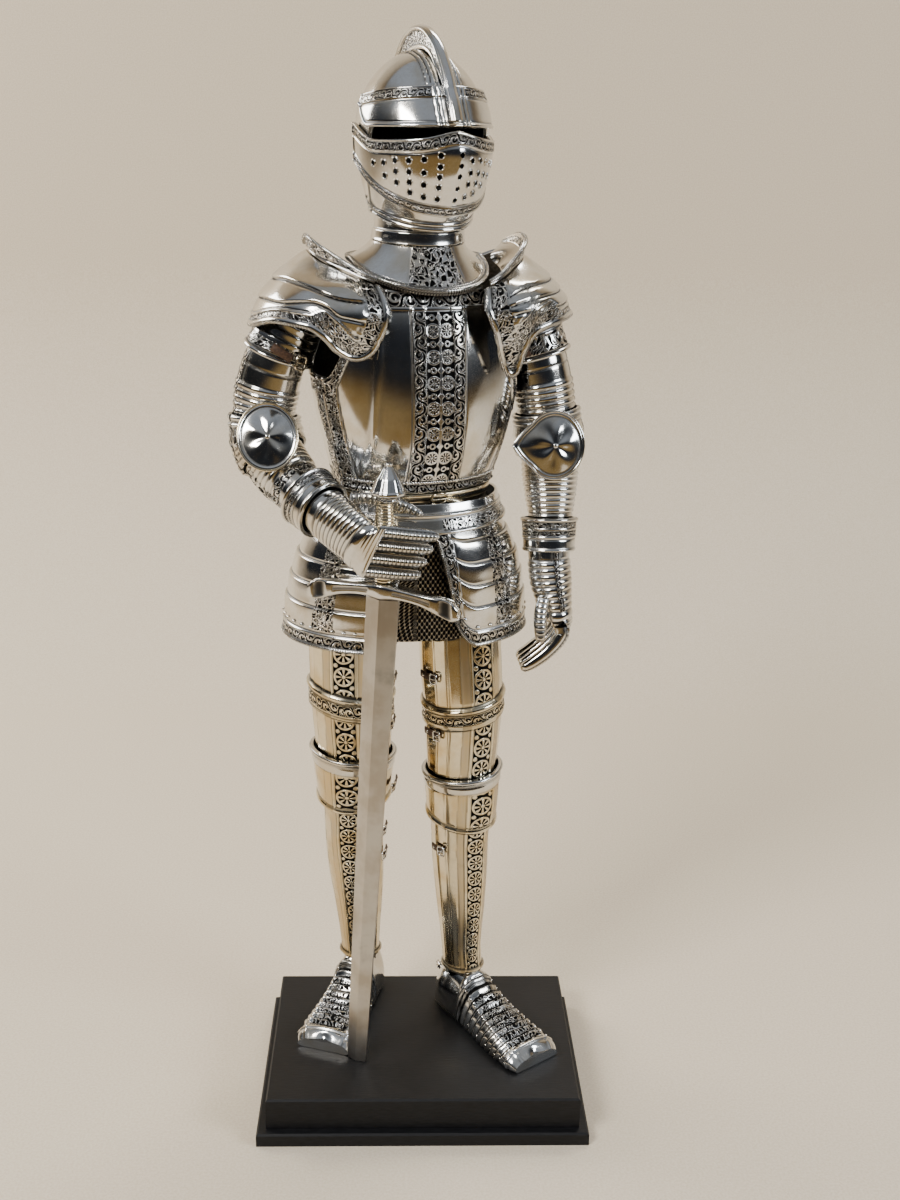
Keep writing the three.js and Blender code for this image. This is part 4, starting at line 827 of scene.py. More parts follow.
def buildHelmet():
    looks = helmetLooks
    rim = lambda a: 419 - 35.2 * bend((fromFront(a) - 66) / 30)
    skull = Sheets()
    aside = lambda g: np.abs((helm.base(g["s"], g["a"]) - helmMiddle) @ helmAcross)
    layPlate(skull, helm, rim, 443.35, step=(0.8, 0.6),
             relief=lambda g: roll(g["low"], 1.6, 0.45) + groove(g["low"] - 2.2, 0.4, 0.12)
             + combRidges(aside(g)) * bend((g["s"] - 404) / 4),
             zones=[lowBand("scroll", 2.6, 4.2, lambda g: np.abs(g["a"]) > 94)], marks=[0.02, 0.05])
    skull.finish("helm_skull_plate", ["helm_skull"])

    brow = Sheets()
    ends = lambda g: np.minimum(g["first"], g["last"])
    layPlate(brow, helm, lambda a: 415.4 + 8 * bend((np.abs(a) - 72) / 24),
             lambda a: 429.6 - 3.4 * (a / 92) ** 2, (-92, 92), 0.4, 1.2,
             plateWall + 0.3,
             relief=lambda g: roll(g["low"], 1.3, 0.4) + roll(g["high"], 0.7, 0.3)
             + 0.25 * bend((3.9 - g["high"]) / 0.4)
             + groove(g["high"] - 4.2, 0.25, 0.2) + roll(ends(g), 1.6, 0.4) + groove(g["low"] - 1.7, 0.3, 0.2)
             + combRidges(np.abs(g["side"]) + 0.8) * (g["high"] > 0.7),
             zones=[highBand("scroll", 0.7, looks["browBand"],
                             lambda g: (ends(g) > 2) & (np.abs(g["side"]) > 6.6))],
             marks=[0.7 / 14, 0.09, 0.7, 0.75, 0.95])
    brow.finish("helm_brow_plate", ["helm_brow"])

    ventail = Sheets()
    holes, lips = [], []
    for angle, stations in looks["breaths"].items():
        for station in stations:
            spot, out = onForm(helm, station, angle, plateWall + 0.3)
            holes.append((spot[0], looks["breathRadius"]))
            lips.append((spot[0], out[0]))
    low, high = looks["lowBand"], looks["highBand"]
    layPlate(ventail, helm, lambda a: 384.6 + 19 * (a / 100) ** 2,
             lambda a: 411.2 + 2.3 * np.exp(-(a / 15) ** 2) + 6 * bend((np.abs(a) - 60) / 45), (-100, 100),
             0.36, 1.2, plateWall + 0.3,
             relief=lambda g: roll(g["low"], 0.7, 0.35) + 0.28 * bend((low + 0.9 - g["low"]) / 0.4)
             + groove(g["low"] - low - 1.3, 0.25, 0.22)
             + roll(g["high"], 0.7, 0.35) + 0.28 * bend((high + 1.0 - g["high"]) / 0.4)
             + groove(g["high"] - high - 1.4, 0.25, 0.22)
             + roll(g["first"], 1.4, 0.4) + roll(g["last"], 1.4, 0.4)
             + 0.5 * np.maximum(0, 1 - np.abs(g["side"]) / 5),
             zones=[lowBand("scroll", 0.7, low), highBand("scroll", 0.7, high)], holes=holes)
    for spot, out in lips:
        side = unit(np.cross(out, [0, 0, 1.0]))
        other = np.cross(out, side)
        t = np.linspace(0, 2 * math.pi, 22, endpoint=False)
        r = looks["breathRadius"] + 0.1
        ring = spot + out * 0.05 + r * (np.cos(t)[:, None] * side + np.sin(t)[:, None] * other)
        tube(ventail, ring, looks["breathLip"], "plain", 6, True)
    ventail.finish("helm_ventail_plate", ["helm_ventail"])

    bevor = Sheets()
    layPlate(bevor, helm, lambda a: 383.4 - 5.8 * np.maximum(0, np.cos(np.radians(a))),
             lambda a: np.minimum(390.6 + 19 * (a / 100) ** 2, np.maximum(384.8, rim(a) - 0.6)),
             (-97.5, 97.5), (0.7, 0.5), lift=-0.1,
             relief=lambda g: 0.9 * dome((g["low"] - 0.9) / 0.9) * (g["low"] < 1.8)
             + 0.55 * dome((g["low"] - 2.7) / 0.7)
             + groove(g["low"] - 3.6, 0.25, 0.25), marks=[0.05, 0.1])
    bevor.finish("helm_bevor_plate", ["helm_bevor"])

    # the comb's outline in the helmet's own plane: distance ahead and height, outer edge then foot
    edge = np.array([[32.4, 418.4], [29.4, 425], [26, 432], [21.6, 438.6], [16.8, 444.2], [11, 448.6],
                     [4.2, 451.6],
                     [-3.6, 452.4], [-11.4, 450.8], [-18.2, 446.4], [-24, 439.6], [-28.2, 430.8],
                     [-30.6, 421], [-30.8, 411],
                     [-29.2, 402.6]])
    foot = np.array([[29.2, 418.2], [26, 424], [20.8, 432.4], [16.4, 437.6], [12, 441.6], [7.4, 443.6],
                     [2.6, 444.4],
                     [-3, 444.3], [-8.6, 443.3], [-14, 441.2], [-19.2, 437.8], [-24.6, 431.2], [-28, 422],
                     [-29.2, 412], [-28, 403]])
    count = 180
    fine = np.linspace(0, 14, count)
    smoothLine = lambda line: np.stack([readColumn(np.arange(15.0), line[:, k], fine) for k in (0, 1)], -1)
    outer, root = smoothLine(edge), smoothLine(foot)
    low = readColumn(np.arange(15.0), [1.6, 1.7, 1.4] + [-0.6] * 12, fine)
    rise = outer - root
    tall = np.maximum(np.linalg.norm(rise, axis=1), 4.6)
    rise = unit(rise)
    # half section from the foot up: how far up, and how wide
    half = [(low + up, wide) for up, wide in ((0, 2.2), (0.9, 2.3), (1.3, 2.1), (1.5, 1.7))]
    panelFoot = len(half)
    top = tall - 2.0
    for f in np.linspace(0, 1, 9):
        half.append((low + 1.6 + (top - low - 1.6) * f, 1.7 - 0.35 * f))
    panelTop = len(half) - 1
    half += [(tall + up, wide) for up,
             wide in ((-1.9, 1.9), (-1.6, 2.3), (-1.1, 2.45), (-0.8, 2.1), (-0.6, 1.6), (-0.35, 1.5),
                      (0.0, 1.2), (0.15, 0.5))]
    rows = half + [(up, -wide) for up, wide in half[::-1]]
    points = np.zeros((len(rows), count, 3))
    for i, (up, wide) in enumerate(rows):
        plane = root + rise * up[:, None]
        points[i] = helmMiddle + helmAhead * plane[:,
            :1] + helmAcross * wide + np.array([0, 0, 1.0]) * plane[:, 1:]
    comb = Sheets()
    zone = filled(len(rows) - 1, count - 1, "plain")
    coordinates = np.zeros((len(rows), count + 1, 2))
    length = np.concatenate([[0], np.cumsum(np.linalg.norm(np.diff(outer, axis=0), axis=1))])
    dark = np.zeros((len(rows), count))
    for k in range(len(rows)):
        j = min(k, len(rows) - 1 - k)
        coordinates[k, :count, 0], coordinates[k, :count, 1] = length / 3.4, rows[k][0] / 3.4
        dark[k] = 0.6 if j in (panelFoot - 1, panelFoot, panelTop, len(half) - 4) else 0
        if panelFoot <= j < panelTop:
            zone[k if k == j else k - 1] = materialNames.index("foliage")
    comb.grid(points, dark, zone=zone, coordinates=coordinates)
    comb.caps(points.transpose(1, 0, 2), "plain")
    comb.finish("helm_comb_fin", ["helm_comb"])


buildHelmet()
print("helmet made")


neck = Form("at x y z side front back dip", [
    [0, -6.5, 20.5, 366.4, 28.4, 30.8, 26.4, 10.8], [5, -6.5, 20.5, 368.2, 24.8, 26.2, 23, 7.8],
    [10, -6.3, 20.5, 371, 20.6, 21.8, 20, 3.4], [14, -6, 20.3, 374, 18.2, 19, 18.2, 1.2],
    [20, -5.7, 20.2, 380, 16.8, 17.6, 17.2, 0.4], [26, -5.1, 20, 386.5, 16.4, 17.2, 16.8, 0.2]], headTurn - 1)
gorgetLooks = {"panelHalf": 24, "rim": 1.0}


def buildNeck():
    gorget = Sheets()
    half = gorgetLooks["panelHalf"]
    inPanel = lambda g: (np.abs(g["a"] + 4) < half) & (g["v"] > 0.2)
    layPlate(gorget, neck, 0, 13.4, step=0.6, wall=1.2,
             relief=lambda g: 1.2 * dome((g["v"] - 0.07) / 0.07) * (g["v"] < 0.14)
             + 0.5 * dome((g["v"] - 0.17) / 0.03)
             + 0.25 * bend((half - np.abs(g["a"] + 4)) / 1.5) * (g["v"] > 0.2)
             + groove(g["v"] - 0.205, 0.008, 0.2),
             zones=[patch("foliage", inPanel, "side", 5, "s", 4.2),
                    patch("rope", lambda g: g["v"] < 0.14, "first", 2.6, "v", 0.14),
                    patch("rope", lambda g: (g["v"] > 0.145) & (g["v"] < 0.195), "first", 1.7, "v", 0.05)],
             marks=[0.03, 0.07, 0.11, 0.14, 0.17, 0.195, 0.205, 0.22])
    gorget.finish("gorget_plate", ["gorget"])
    lamesSheet = Sheets()
    layPlate(lamesSheet, neck, 13.7, 27, step=(0.8, 0.5), lift=0.2, relief=lames(3, 0.8, 0.12),
             marks=lameMarks(3, 0.12))
    lamesSheet.finish("neck_rings", ["neck_lames"])


buildNeck()
print("neck made")


chest = Form("at x y side front back keel", [
    [262, -8.2, 22, 34, 25, 24, 0], [270, -8, 22, 32.6, 23.6, 22, 0.2], [277, -7.6, 22, 33, 25, 22, 0.8],
    [284, -7.3, 22, 34.8, 28, 22.8, 1.4], [296, -7, 22, 38, 31.6, 24.6, 1.8],
    [310, -7, 22, 41.2, 32.6, 26.4, 1.6],
    [324, -7, 22, 42.8, 32.4, 27.4, 1.2], [338, -7, 22, 42, 31, 27.6, 0.8],
    [350, -7, 22, 38.5, 28.6, 26.4, 0.3],
    [358, -7, 22, 34, 24.8, 24, 0], [366, -7, 22, 28, 19, 20.5, 0]], chestTurn, square=2.15)
cuirassLooks = {"centreBand": 11.0, "sideBand": 5.0, "topBand": 7.0, "armBorder": 7.5, "hem": 4.0,
                "foot": 276.6,
                "frontTop": 356.6, "backTop": 361, "armFootR": 322, "armFootL": 313, "half": 74,
                "backBorder": 5,
                "beltFoot": 271.9, "beltTop": 275.9}


def armholeEdge(u, high, rib, near, far):
    return high - (high - rib) * bend((np.abs(2 * u - 1) - near) / (far - near))


def buildCuirass():
    looks = cuirassLooks
    front = Sheets()
    foot, half, armR, armL = looks["foot"], looks["half"], looks["armFootR"], looks["armFootL"]
    top = lambda a: armholeEdge((a + half) / (2 * half), looks["frontTop"], np.where(a > 0, armL, armR),
                                0.56, 0.98)
    centre, sides = looks["centreBand"], looks["sideBand"]
    whole = centre + 2 * sides
    body = lambda g: (g["high"] > looks["topBand"] + 1) & (g["low"] > looks["hem"] + 1)
    border = looks["armBorder"]
    rim = lambda g: np.minimum(np.minimum(g["first"], g["last"]), g["high"] + 30 * (np.abs(g["a"]) < 40))
    layPlate(front, chest, foot, top, (-half, half), 0.5,
             relief=lambda g: 0.9 * dome((g["low"] - 1) / 1) * (g["low"] < 2)
             + 0.45 * dome((g["low"] - 4.2) / 0.5)
             + 0.3 * bend((whole / 2 - np.abs(g["side"])) / 0.5) * body(g)
             + 0.35 * dome((np.abs(g["side"]) - centre / 2) / 0.45)
             + 0.4 * dome((np.abs(g["side"]) - whole / 2) / 0.5)
             + groove(np.abs(g["side"]) - whole / 2 - 0.8, 0.3, 0.22)
             + 0.3 * bend((looks["topBand"] - g["high"]) / 0.5) + 0.4 * dome((g["high"] - 0.5) / 0.5)
             + 0.4 * dome((g["high"] - looks["topBand"]) / 0.5)
             + 0.3 * bend((border - rim(g)) / 0.6) + 0.45 * dome((rim(g) - 0.7) / 0.7)
             + 0.4 * dome((rim(g) - border) / 0.5)
             + groove(rim(g) - border - 0.9, 0.35, 0.25) * (g["high"] > looks["topBand"] + 1)
             + 0.9 * np.exp(-((g["side"] + 26.5 - 0.08 * (g["s"] - 300)) / 1.6) ** 2)
             * bend((g["s"] - 288) / 12) * bend((346 - g["s"]) / 10),
             zones=[("foliage", lambda g: rim(g) < border, lambda g: g["s"] / 4.2, lambda g: rim(g) / 4.2),
                    lowBand("scroll", 0.3, looks["hem"]),
                    uprightBand("scroll", -(centre + sides) / 2, sides, body),
                    uprightBand("scroll", (centre + sides) / 2, sides, body),
                    uprightBand("fans", 0, centre, body),
                    highBand("scroll", 0.8, looks["topBand"] - 1.4, lambda g: np.abs(g["a"]) < 46)])
    spots, out = onForm(chest, 281.3, np.linspace(-68, 68, 60), 0.3)
    bead(front, spots, out, 0.5, tall=0.8)
    front.finish("breastplate_front", ["breastplate"])

    back = Sheets()
    top = lambda a: armholeEdge((a - 75) / 210, looks["backTop"], np.where(a < 180, armL, armR), 0.3, 0.8)
    layPlate(back, chest, foot, top, (75, 285), 0.9,
             relief=lambda g: 0.8 * dome((g["low"] - 1.1) / 1.1) * (g["low"] < 2.2)
             + roll(g["first"], 1.4, 0.4) + roll(g["last"], 1.4, 0.4)
             + roll(g["high"], 1.6, 0.5) + groove(g["low"] - 9, 0.3, 0.15)
             + groove(np.abs(np.abs(g["a"]) - 180) - 12, 0.5, 0.3)
             + 0.8 * np.exp(-((np.abs(g["a"]) - 180) / 2.2) ** 2),
             zones=[lowBand("scroll", 2.4, 5.5), highBand("scroll", 1.8, 5),
                    *[sideBand("foliage", edge, 1.6, looks["backBorder"]) for edge in ("first", "last")]])
    back.finish("backplate_shell", ["backplate"])

    belt = Sheets()
    layPlate(belt, chest, looks["beltFoot"], looks["beltTop"], step=0.6, wall=1.4, lift=0.4,
             relief=lambda g: 0.4 * bend(g["low"] / 0.7) * bend(g["high"] / 0.7), base="gilt",
             zones=[("rope", lambda g: (np.abs(g["v"] - 0.5) < 0.18) & (g["a"] > 14),
                     lambda g: g["first"] / 1.6, lambda g: g["v"])])
    # the buckle's frame and tongue, then the strap's free end, which hangs pointed over the fauld
    along = lambda stops: np.array([onForm(chest, s, a, lift)[0][0] for a, s, lift in stops])
    frameStops = ((1, 271.9), (1, 276), (9, 276.6), (15, 275.6), (16.5, 273.9), (15, 272.2), (9, 271.3))
    tube(belt, along([(a, s, 1.4) for a, s in frameStops]), 0.5, "gilt", 6, True)
    tube(belt, along([(a, 273.9, 1.7) for a in (1, 8, 16)]), 0.35, "gilt", 6)
    tube(belt, along([(16, 273.6, 1.6), (24, 272.4, 1.8), (32, 270.4, 3.2), (40, 268, 4.6), (44, 266.2, 5)]),
         np.array([0.9, 1.7, 1.7, 1.5, 0.4]), "gilt", 8)
    belt.finish("waist_belt_strap", ["waist_belt"])


buildCuirass()
print("cuirass made")


skirt = Form("at x y side front back", [
    [206, -9.6, 22, 48.2, 33.4, 31], [222, -9.4, 22, 47.2, 33, 30.5], [240, -9, 22, 44, 31.5, 29],
    [252, -8.6, 22, 39.5, 29, 27], [262, -8.4, 22, 35, 26, 24.5], [272, -8.2, 22, 31.6, 23.4, 21.6]], hipTurn)
hips = Form("at x y side front back", [
    [203, -9.8, 22, 52.6, 38.4, 35], [216, -9.6, 22, 51.8, 38, 34.6], [228, -9.3, 22, 50.4, 37.2, 34],
    [240, -9, 22, 48, 35.6, 32.6], [250, -8.6, 22, 44.4, 33.4, 30.6], [258, -8.4, 22, 40, 30.6, 28.4],
    [266, -8.3, 22, 36, 27.6, 25.4], [272, -8.2, 22, 34.2, 25.6, 23.8]], hipTurn)
hipLooks = {"ring": 2.1, "hem": 6.0, "rivet": 0.95, "lames": 5, "lameSharp": 0.07, "plainTop": 0.15,
            "panel": (50, 62)}


def buildHips():
    looks = hipLooks
    ring = looks["ring"]
    mailSkirt = Sheets()
    layPlate(mailSkirt, skirt, 215.8, 270, step=(1.6, 0.7), wall=1.2,
             relief=lambda g: 0.15 * np.sin(g["s"] / (ring * 0.69) * 2 * math.pi) * (g["low"] > 0.8),
             zones=[patch("mail", lambda g: g["u"] >= 0, "first", ring, "s", ring * 1.38)],
             base="mail", contrast=0.4)
    mailSkirt.finish("mail_skirt_net", ["mail_skirt"])

    for name, outerEdge, topEdge, footEdge, foot in (("R", -108, -9, -15, 211.5), ("L", 104, 9, 23, 212.5)):
        sheet = Sheets()
        spanAt = lambda v: (outerEdge, footEdge + (topEdge - footEdge) * v ** 1.4)
        uOf = lambda a: np.clip((a - outerEdge) / (footEdge - outerEdge), 0, 1)
        corner = lambda a: foot + 12 * np.maximum(0, (uOf(a) - 0.8) / 0.2) ** 2 + 3 * np.maximum(0,
            (0.08 - uOf(a)) / 0.08) ** 2
        count, sharp, plainTop = looks["lames"], looks["lameSharp"], looks["plainTop"]
        strips = lames(count, 0.9, sharp)

        def relief(g, strips=strips, count=count, plainTop=plainTop):
            plain = dict(g, v=np.clip((g["v"] - plainTop) / (1 - plainTop), 0, 1))
            rim = np.minimum(g["low"], g["last"])
            seam = (plain["v"] * count + 0.5) % 1 - 0.5
            return (np.where(g["v"] > plainTop, strips(plain), 0.3)
                    - 0.35 * np.exp(-(seam / 0.05) ** 2) * (rim > looks["hem"])
                    + 0.5 * dome((rim - 0.6) / 0.6) + 0.4 * dome((rim - looks["hem"]) / 0.5)
                    + groove(rim - looks["hem"] - 0.8, 0.3, 0.2))

        rimOf = lambda g: np.minimum(g["low"], g["last"])
        alongRim = lambda g: np.where(g["low"] < g["last"], g["first"], g["s"])
        near, far = looks["panel"]
        inStrip = lambda g: (np.abs(g["a"]) > near) & (np.abs(g["a"]) < far)
        panel = lambda g: inStrip(g) & (rimOf(g) > looks["hem"]) & (g["v"] > plainTop - 0.01)
        layPlate(sheet, hips, corner, 265, spanAt, (0.6, 0.5), relief=relief,
                 zones=[("scroll", lambda g: (rimOf(g) > 1.2) & (rimOf(g) < looks["hem"] - 0.4),
                         lambda g: alongRim(g) / 4.4, lambda g: (rimOf(g) - 1.2) / 4.4),
                        ("rope", lambda g: rimOf(g) < 1.2, lambda g: alongRim(g) / 1.6,
                         lambda g: rimOf(g) / 1.2),
                        patch("foliage", panel, "side", 4.2)],
                 marks=[plainTop + (1 - plainTop) * m for m in lameMarks(count, sharp)])
        # rivets above the hem and down the inner edge
        a = np.linspace(outerEdge + 8, footEdge - 10, 13)
        spots, out = onForm(hips, corner(a) + looks["hem"] + 2.2, a, 0.5)
        bead(sheet, spots, out, looks["rivet"])
        sheet.finish("tasset_" + name + "_lames", ["tasset_" + name])

    culet = Sheets()
    layPlate(culet, hips, lambda a: 226 - 8 * np.sin(math.pi * (a - 107) / 142), 265, (107, 249), (1.0, 0.6),
             relief=lambda g: lames(3, 0.8, 0.06)(g) + roll(g["low"], 1.2, 0.45), marks=lameMarks(3, 0.06),
             zones=[lowBand("scroll", 1.3, 4.6)])
    culet.finish("culet_lames", ["culet"])
    fauld = Sheets()
    layPlate(fauld, hips, lambda a: 261 - 1.5 * np.cos(np.radians(a)), 271.4, step=(0.9, 0.45), wall=1.1,
             lift=plateWall + 1.3,
             relief=lambda g: roll(g["low"], 1.2, 0.45)
             + 0.6 * bend((g["v"] - 0.55) / 0.06) * (1 - bend((g["v"] - 0.64) / 0.06))
             + groove(g["v"] - 0.52, 0.02, 0.25),
             marks=[0.12, 0.5, 0.55, 0.6, 0.64, 0.7], zones=[patch(
                 "foliage", lambda g: (g["v"] < 0.5) & (g["low"] > 1.2) & (np.abs(g["a"]) > 18), "first", 4)])
    fauld.finish("fauld_plate", ["fauld"])


buildHips()
print("hips made")


shoulderColumns = "at x y side front back"


def shoulderForm(x, y, left):
    rows = [[316, 35.4, 28.4, 26], [331, 35.4, 31, 27.8], [344, 33.2, 35.2, 28], [351, 30, 35.2, 26.6],
            [357, 25.6, 30.4, 23.4],
            [362, 20.8, 20.6, 19.8], [366, 15.8, 14.8, 15], [370, 9.4, 8.6, 9]]
    return Form(shoulderColumns, [[s, x, y, a, b, c] for s, a, b, c in rows], chestTurn, square=2.2,
                left=left)


shoulders = {
    "R": {"form": shoulderForm(-37, 13, -1), "first": -16,
          "wing": [[-16, 350], [-13, 342], [-10, 336], [-4.5, 332.8], [3.5, 331.4], [11, 332.4],
                   [19.5, 335.8],
                   [24.5, 339.6], [32, 343]],
          "seams": [[[-16, 352.6], [2.9, 353], [17.6, 354.2], [37.2, 357.2], [64.7, 358.8], [87.3, 358.4],
                     [130, 357], [200, 352]],
                    [[-16, 345.8], [-1.9, 346.1], [8.4, 347.4], [15.2, 348.4], [21.3, 351.1], [31.1, 352.6],
                     [56.7, 351.5],
                     [81.2, 351.5], [130, 350], [200, 346]]]},
    "L": {"form": shoulderForm(21.5, 29, 1), "first": -21,
          "wing": [[-21, 350], [-17, 344.5], [-14, 339], [-10.7, 331.6], [-6.7, 326], [-0.7, 323.1],
                   [5.3, 323.9], [8, 327.5],
                   [11, 336], [16, 341]],
          "seams": [[[-21, 352.4], [-11.3, 352.8], [6, 356.1], [28.7, 357.6], [110, 359], [200, 353]],
                    [[-21, 349], [-11.3, 349.4], [3.3, 352], [26, 353.7], [110, 355], [200, 350]],
                    [[-21, 346.2], [-10, 346.6], [4, 348.7], [28.7, 349.8], [110, 351], [200, 347]],
                    [[-21, 341], [-8, 341.6], [9.3, 345.5], [33.3, 347.2], [110, 347.5], [200, 344]]]}}
shoulderLooks = {"border": 1.2, "wingBand": 8.4, "armBand": 4.6}


def edgeAt(stops):
    stops = np.array(stops, float)
    return lambda a: readColumn(stops[:, 0], stops[:, 1], a)


def distanceFrom(form, line):
    # how far the points of a plate lie from a line of points
    def measure(g):
        spots = form.base(g["s"], g["a"])
        flat = spots.reshape(-1, 3)
        near = np.concatenate([np.linalg.norm(part[:, None] - line[None], axis=2).min(1)
                               for part in np.array_split(flat, 24)])
        return near.reshape(spots.shape[:2])
    return measure


def buildShoulder(side):
    parts, looks = shoulders[side], shoulderLooks
    form, first, last = parts["form"], parts["first"], 200
    low = edgeAt(parts["wing"] + [[42, 344], [60, 344], [90, 340.5], [130, 340.5], [158, 340], [178, 338],
                                  [200, 346]])
    high = edgeAt([[-34, 352.5], [-16, 357], [10, 362], [45, 366], [80, 368.4], [120, 368.4], [158, 366],
                   [200, 359]])
    border = looks["border"]
    seams = [edgeAt(stops) for stops in parts["seams"]]
    # the border runs up the front end and along the lower edge
    turns = np.linspace(first, last, 460)
    ends = np.full(24, float(first))
    climb = np.linspace(high(ends[:1])[0], low(ends[:1])[0], 24)
    rim = distanceFrom(form, np.concatenate([form.base(climb, ends), form.base(low(turns), turns)]))
    turnOf = lambda g: (g["a"] + 90) % 360 - 90
    bandOf = lambda g: looks["armBand"] + (looks["wingBand"] - looks["armBand"]) * bend((34 - turnOf(g)) / 12)

    def relief(g):
        # each plate overlaps the one below and drops to it at its lower edge
        d, band = rim(g), bandOf(g)
        total = 0.8 * dome((d - border) / border) + 0.4 * dome((d - band - 0.4) / 0.45) + groove(d - band
            - 1.2, 0.3, 0.25)
        clear = bend((d - band - 0.8) / 0.6)
        for seam in seams:
            off = g["s"] - seam(turnOf(g))
            total = total + (0.6 * bend(off / 0.4) * bend((7 - off) / 7)
                             - 0.5 * np.exp(-((off + 0.3) / 0.4) ** 2)) * clear
        return total + roll(g["last"], 1.8, 0.5)
    sheet = Sheets()
    layPlate(sheet, form, low, high, (first, last), (0.85, 0.45), plateWall, plateWall, relief=relief,
             zones=[patch("foliage", lambda g: (rim(g) > 2 * border) & (rim(g) < bandOf(g)), "first", 4.4),
                    ("rope", lambda g: rim(g) < border, lambda g: g["s"] / 1.5 + g["first"] / 1.5,
                     lambda g: rim(g) / border)])
    sheet.finish("pauldron_" + side + "_plates", ["pauldron_" + side])

    guard = Sheets()
    around = np.linspace(first + 4, 128, 120)
    arc = np.sin(math.pi * np.clip((around - first) / (136 - first), 0, 1))
    root = onForm(form, high(around), around, plateWall / 2)[0]
    lean = root - form.centre(np.full(120, 366.0))
    lean[:, 2] = 0
    lean = unit(lean)
    stops = [(-2 - 9 * arc, -0.5 - 4 * arc + 0.6), (-1 - 4.5 * arc, -0.2 - 1.5 * arc + 0.6),
             (0 * arc, 0.9 + 0 * arc), (0.9 + 0 * arc, 1.6 + 2.2 * arc ** 1.2),
             (1.4 + 0 * arc, 1.8 + 4.6 * arc ** 1.2)]
    t = np.linspace(0, 4, 22)
    grid = np.zeros((22, 120, 3))
    for k in range(120):
        r = readColumn(np.arange(5.0), [stop[0][k] for stop in stops], t)
        z = readColumn(np.arange(5.0), [stop[1][k] for stop in stops], t)
        grid[:, k] = root[k] + lean[k] * r[:, None] + np.array([0, 0, 1.0]) * (0.65 + z[:, None])
    length = np.concatenate([[0], np.cumsum(np.linalg.norm(np.diff(grid[14], axis=0), axis=1))])
    coordinates = np.zeros((22, 121, 2))
    coordinates[:, :120, 0] = length[None] / 5
    coordinates[:, :120, 1] = (t / 4 * 2)[:, None]
    zone = filled(21, 119, "plain")
    zone[12:19, 3:-3] = materialNames.index("foliage")
    layShell(guard, grid, 1.1, zone=zone, coordinates=coordinates, flip=side == "R", twoSided=True)
    tube(guard, grid[-1], 0.75, "rope", 8, pitch=1.6)
    tube(guard, grid[11], 0.35, "plain", 6)
    guard.finish("neck_guard_" + side + "_flange", ["neck_guard_" + side])


for side in ("R", "L"):
    buildShoulder(side)
print("shoulders made")

armColumns = "at x y z side front back"
armForms = {
    "R": Form(armColumns, [[s, x, y, z, r, r, r] for s, x, y, z, r in [
        [0, -44, -11, 272.2, 9.2], [9, -49.5, -5.2, 275.6, 10], [18, -55.4, 1.4, 279.8, 11.2],
        [27, -61, 7.2, 285.2, 12],
        [36, -65.2, 11.6, 292, 11.9], [47, -66.9, 13.6, 302.4, 11.7], [61, -65.2, 13.8, 315.6, 12.4],
        [75, -61, 13.2, 329, 11.6],
        [87, -55.8, 13, 340, 9.4], [97, -50.8, 13, 348.6, 9.2]]], bent=True, faces=[0.31, -0.95, 0]),
    "L": Form(armColumns, [[s, x, y, z, r, r, r] for s, x, y, z, r in [
        [0, 51.4, 22, 248, 7.4], [10, 51.4, 24, 258, 8.4], [20, 51.2, 26, 268, 10.2],
        [30, 50.9, 28, 278, 11.4],
        [42, 50.2, 29.4, 290, 11.6], [54, 48.8, 30.4, 302, 11.6], [68, 46.4, 31.2, 316, 12],
        [80, 43.2, 31.8, 328, 11.8],
        [92, 39.4, 32, 340, 10.4], [102, 35, 32, 349, 9.4]]], bent=True, faces=[0.31, -0.95, 0])}
armSpots = {"R": {"elbow": 38, "cannonFoot": 46, "lamesFoot": 74, "top": 82.4, "rings": 62, "strip": -90,
                  "strap": (78.5, -28, 6), "buckle": 22, "tuck": 6.4},
            "L": {"elbow": 45, "cannonFoot": 53, "lamesFoot": 78, "top": 92, "rings": 68, "strip": 90,
                  "strap": (82.5, -28, -52), "buckle": -64, "tuck": 0}}
fans = {"R": {"middle": [-64.4, -4.4, 298.6], "faces": [0.08, -0.93, 0.36], "wide": 12, "tall": 13.6,
              "point": 0, "rim": "gilt"},
        "L": {"middle": [50.8, 12.6, 293], "faces": [0.1, -0.98, 0.16], "wide": 12.4, "tall": 14,
              "point": 5.2, "rim": "plain"}}


def ringsBetween(count, start, stop, rise):
    # close rings between two stations
    def shape(g):
        t = (g["s"] - start) / (stop - start) * count
        f = t - np.floor(t)
        return np.where((t > 0) & (t < count), rise * bend(f / 0.35) * bend((1 - f) / 0.3), 0)
    return shape


def ringMarks(count, start, stop, low, high):
    spots = []
    for i in range(count):
        for f in (0, 0.12, 0.24, 0.38, 0.6, 0.75, 0.88):
            spots.append((start + (stop - start) * (i + f) / count - low) / (high - low))
    return [m for m in spots if 0 < m < 1]


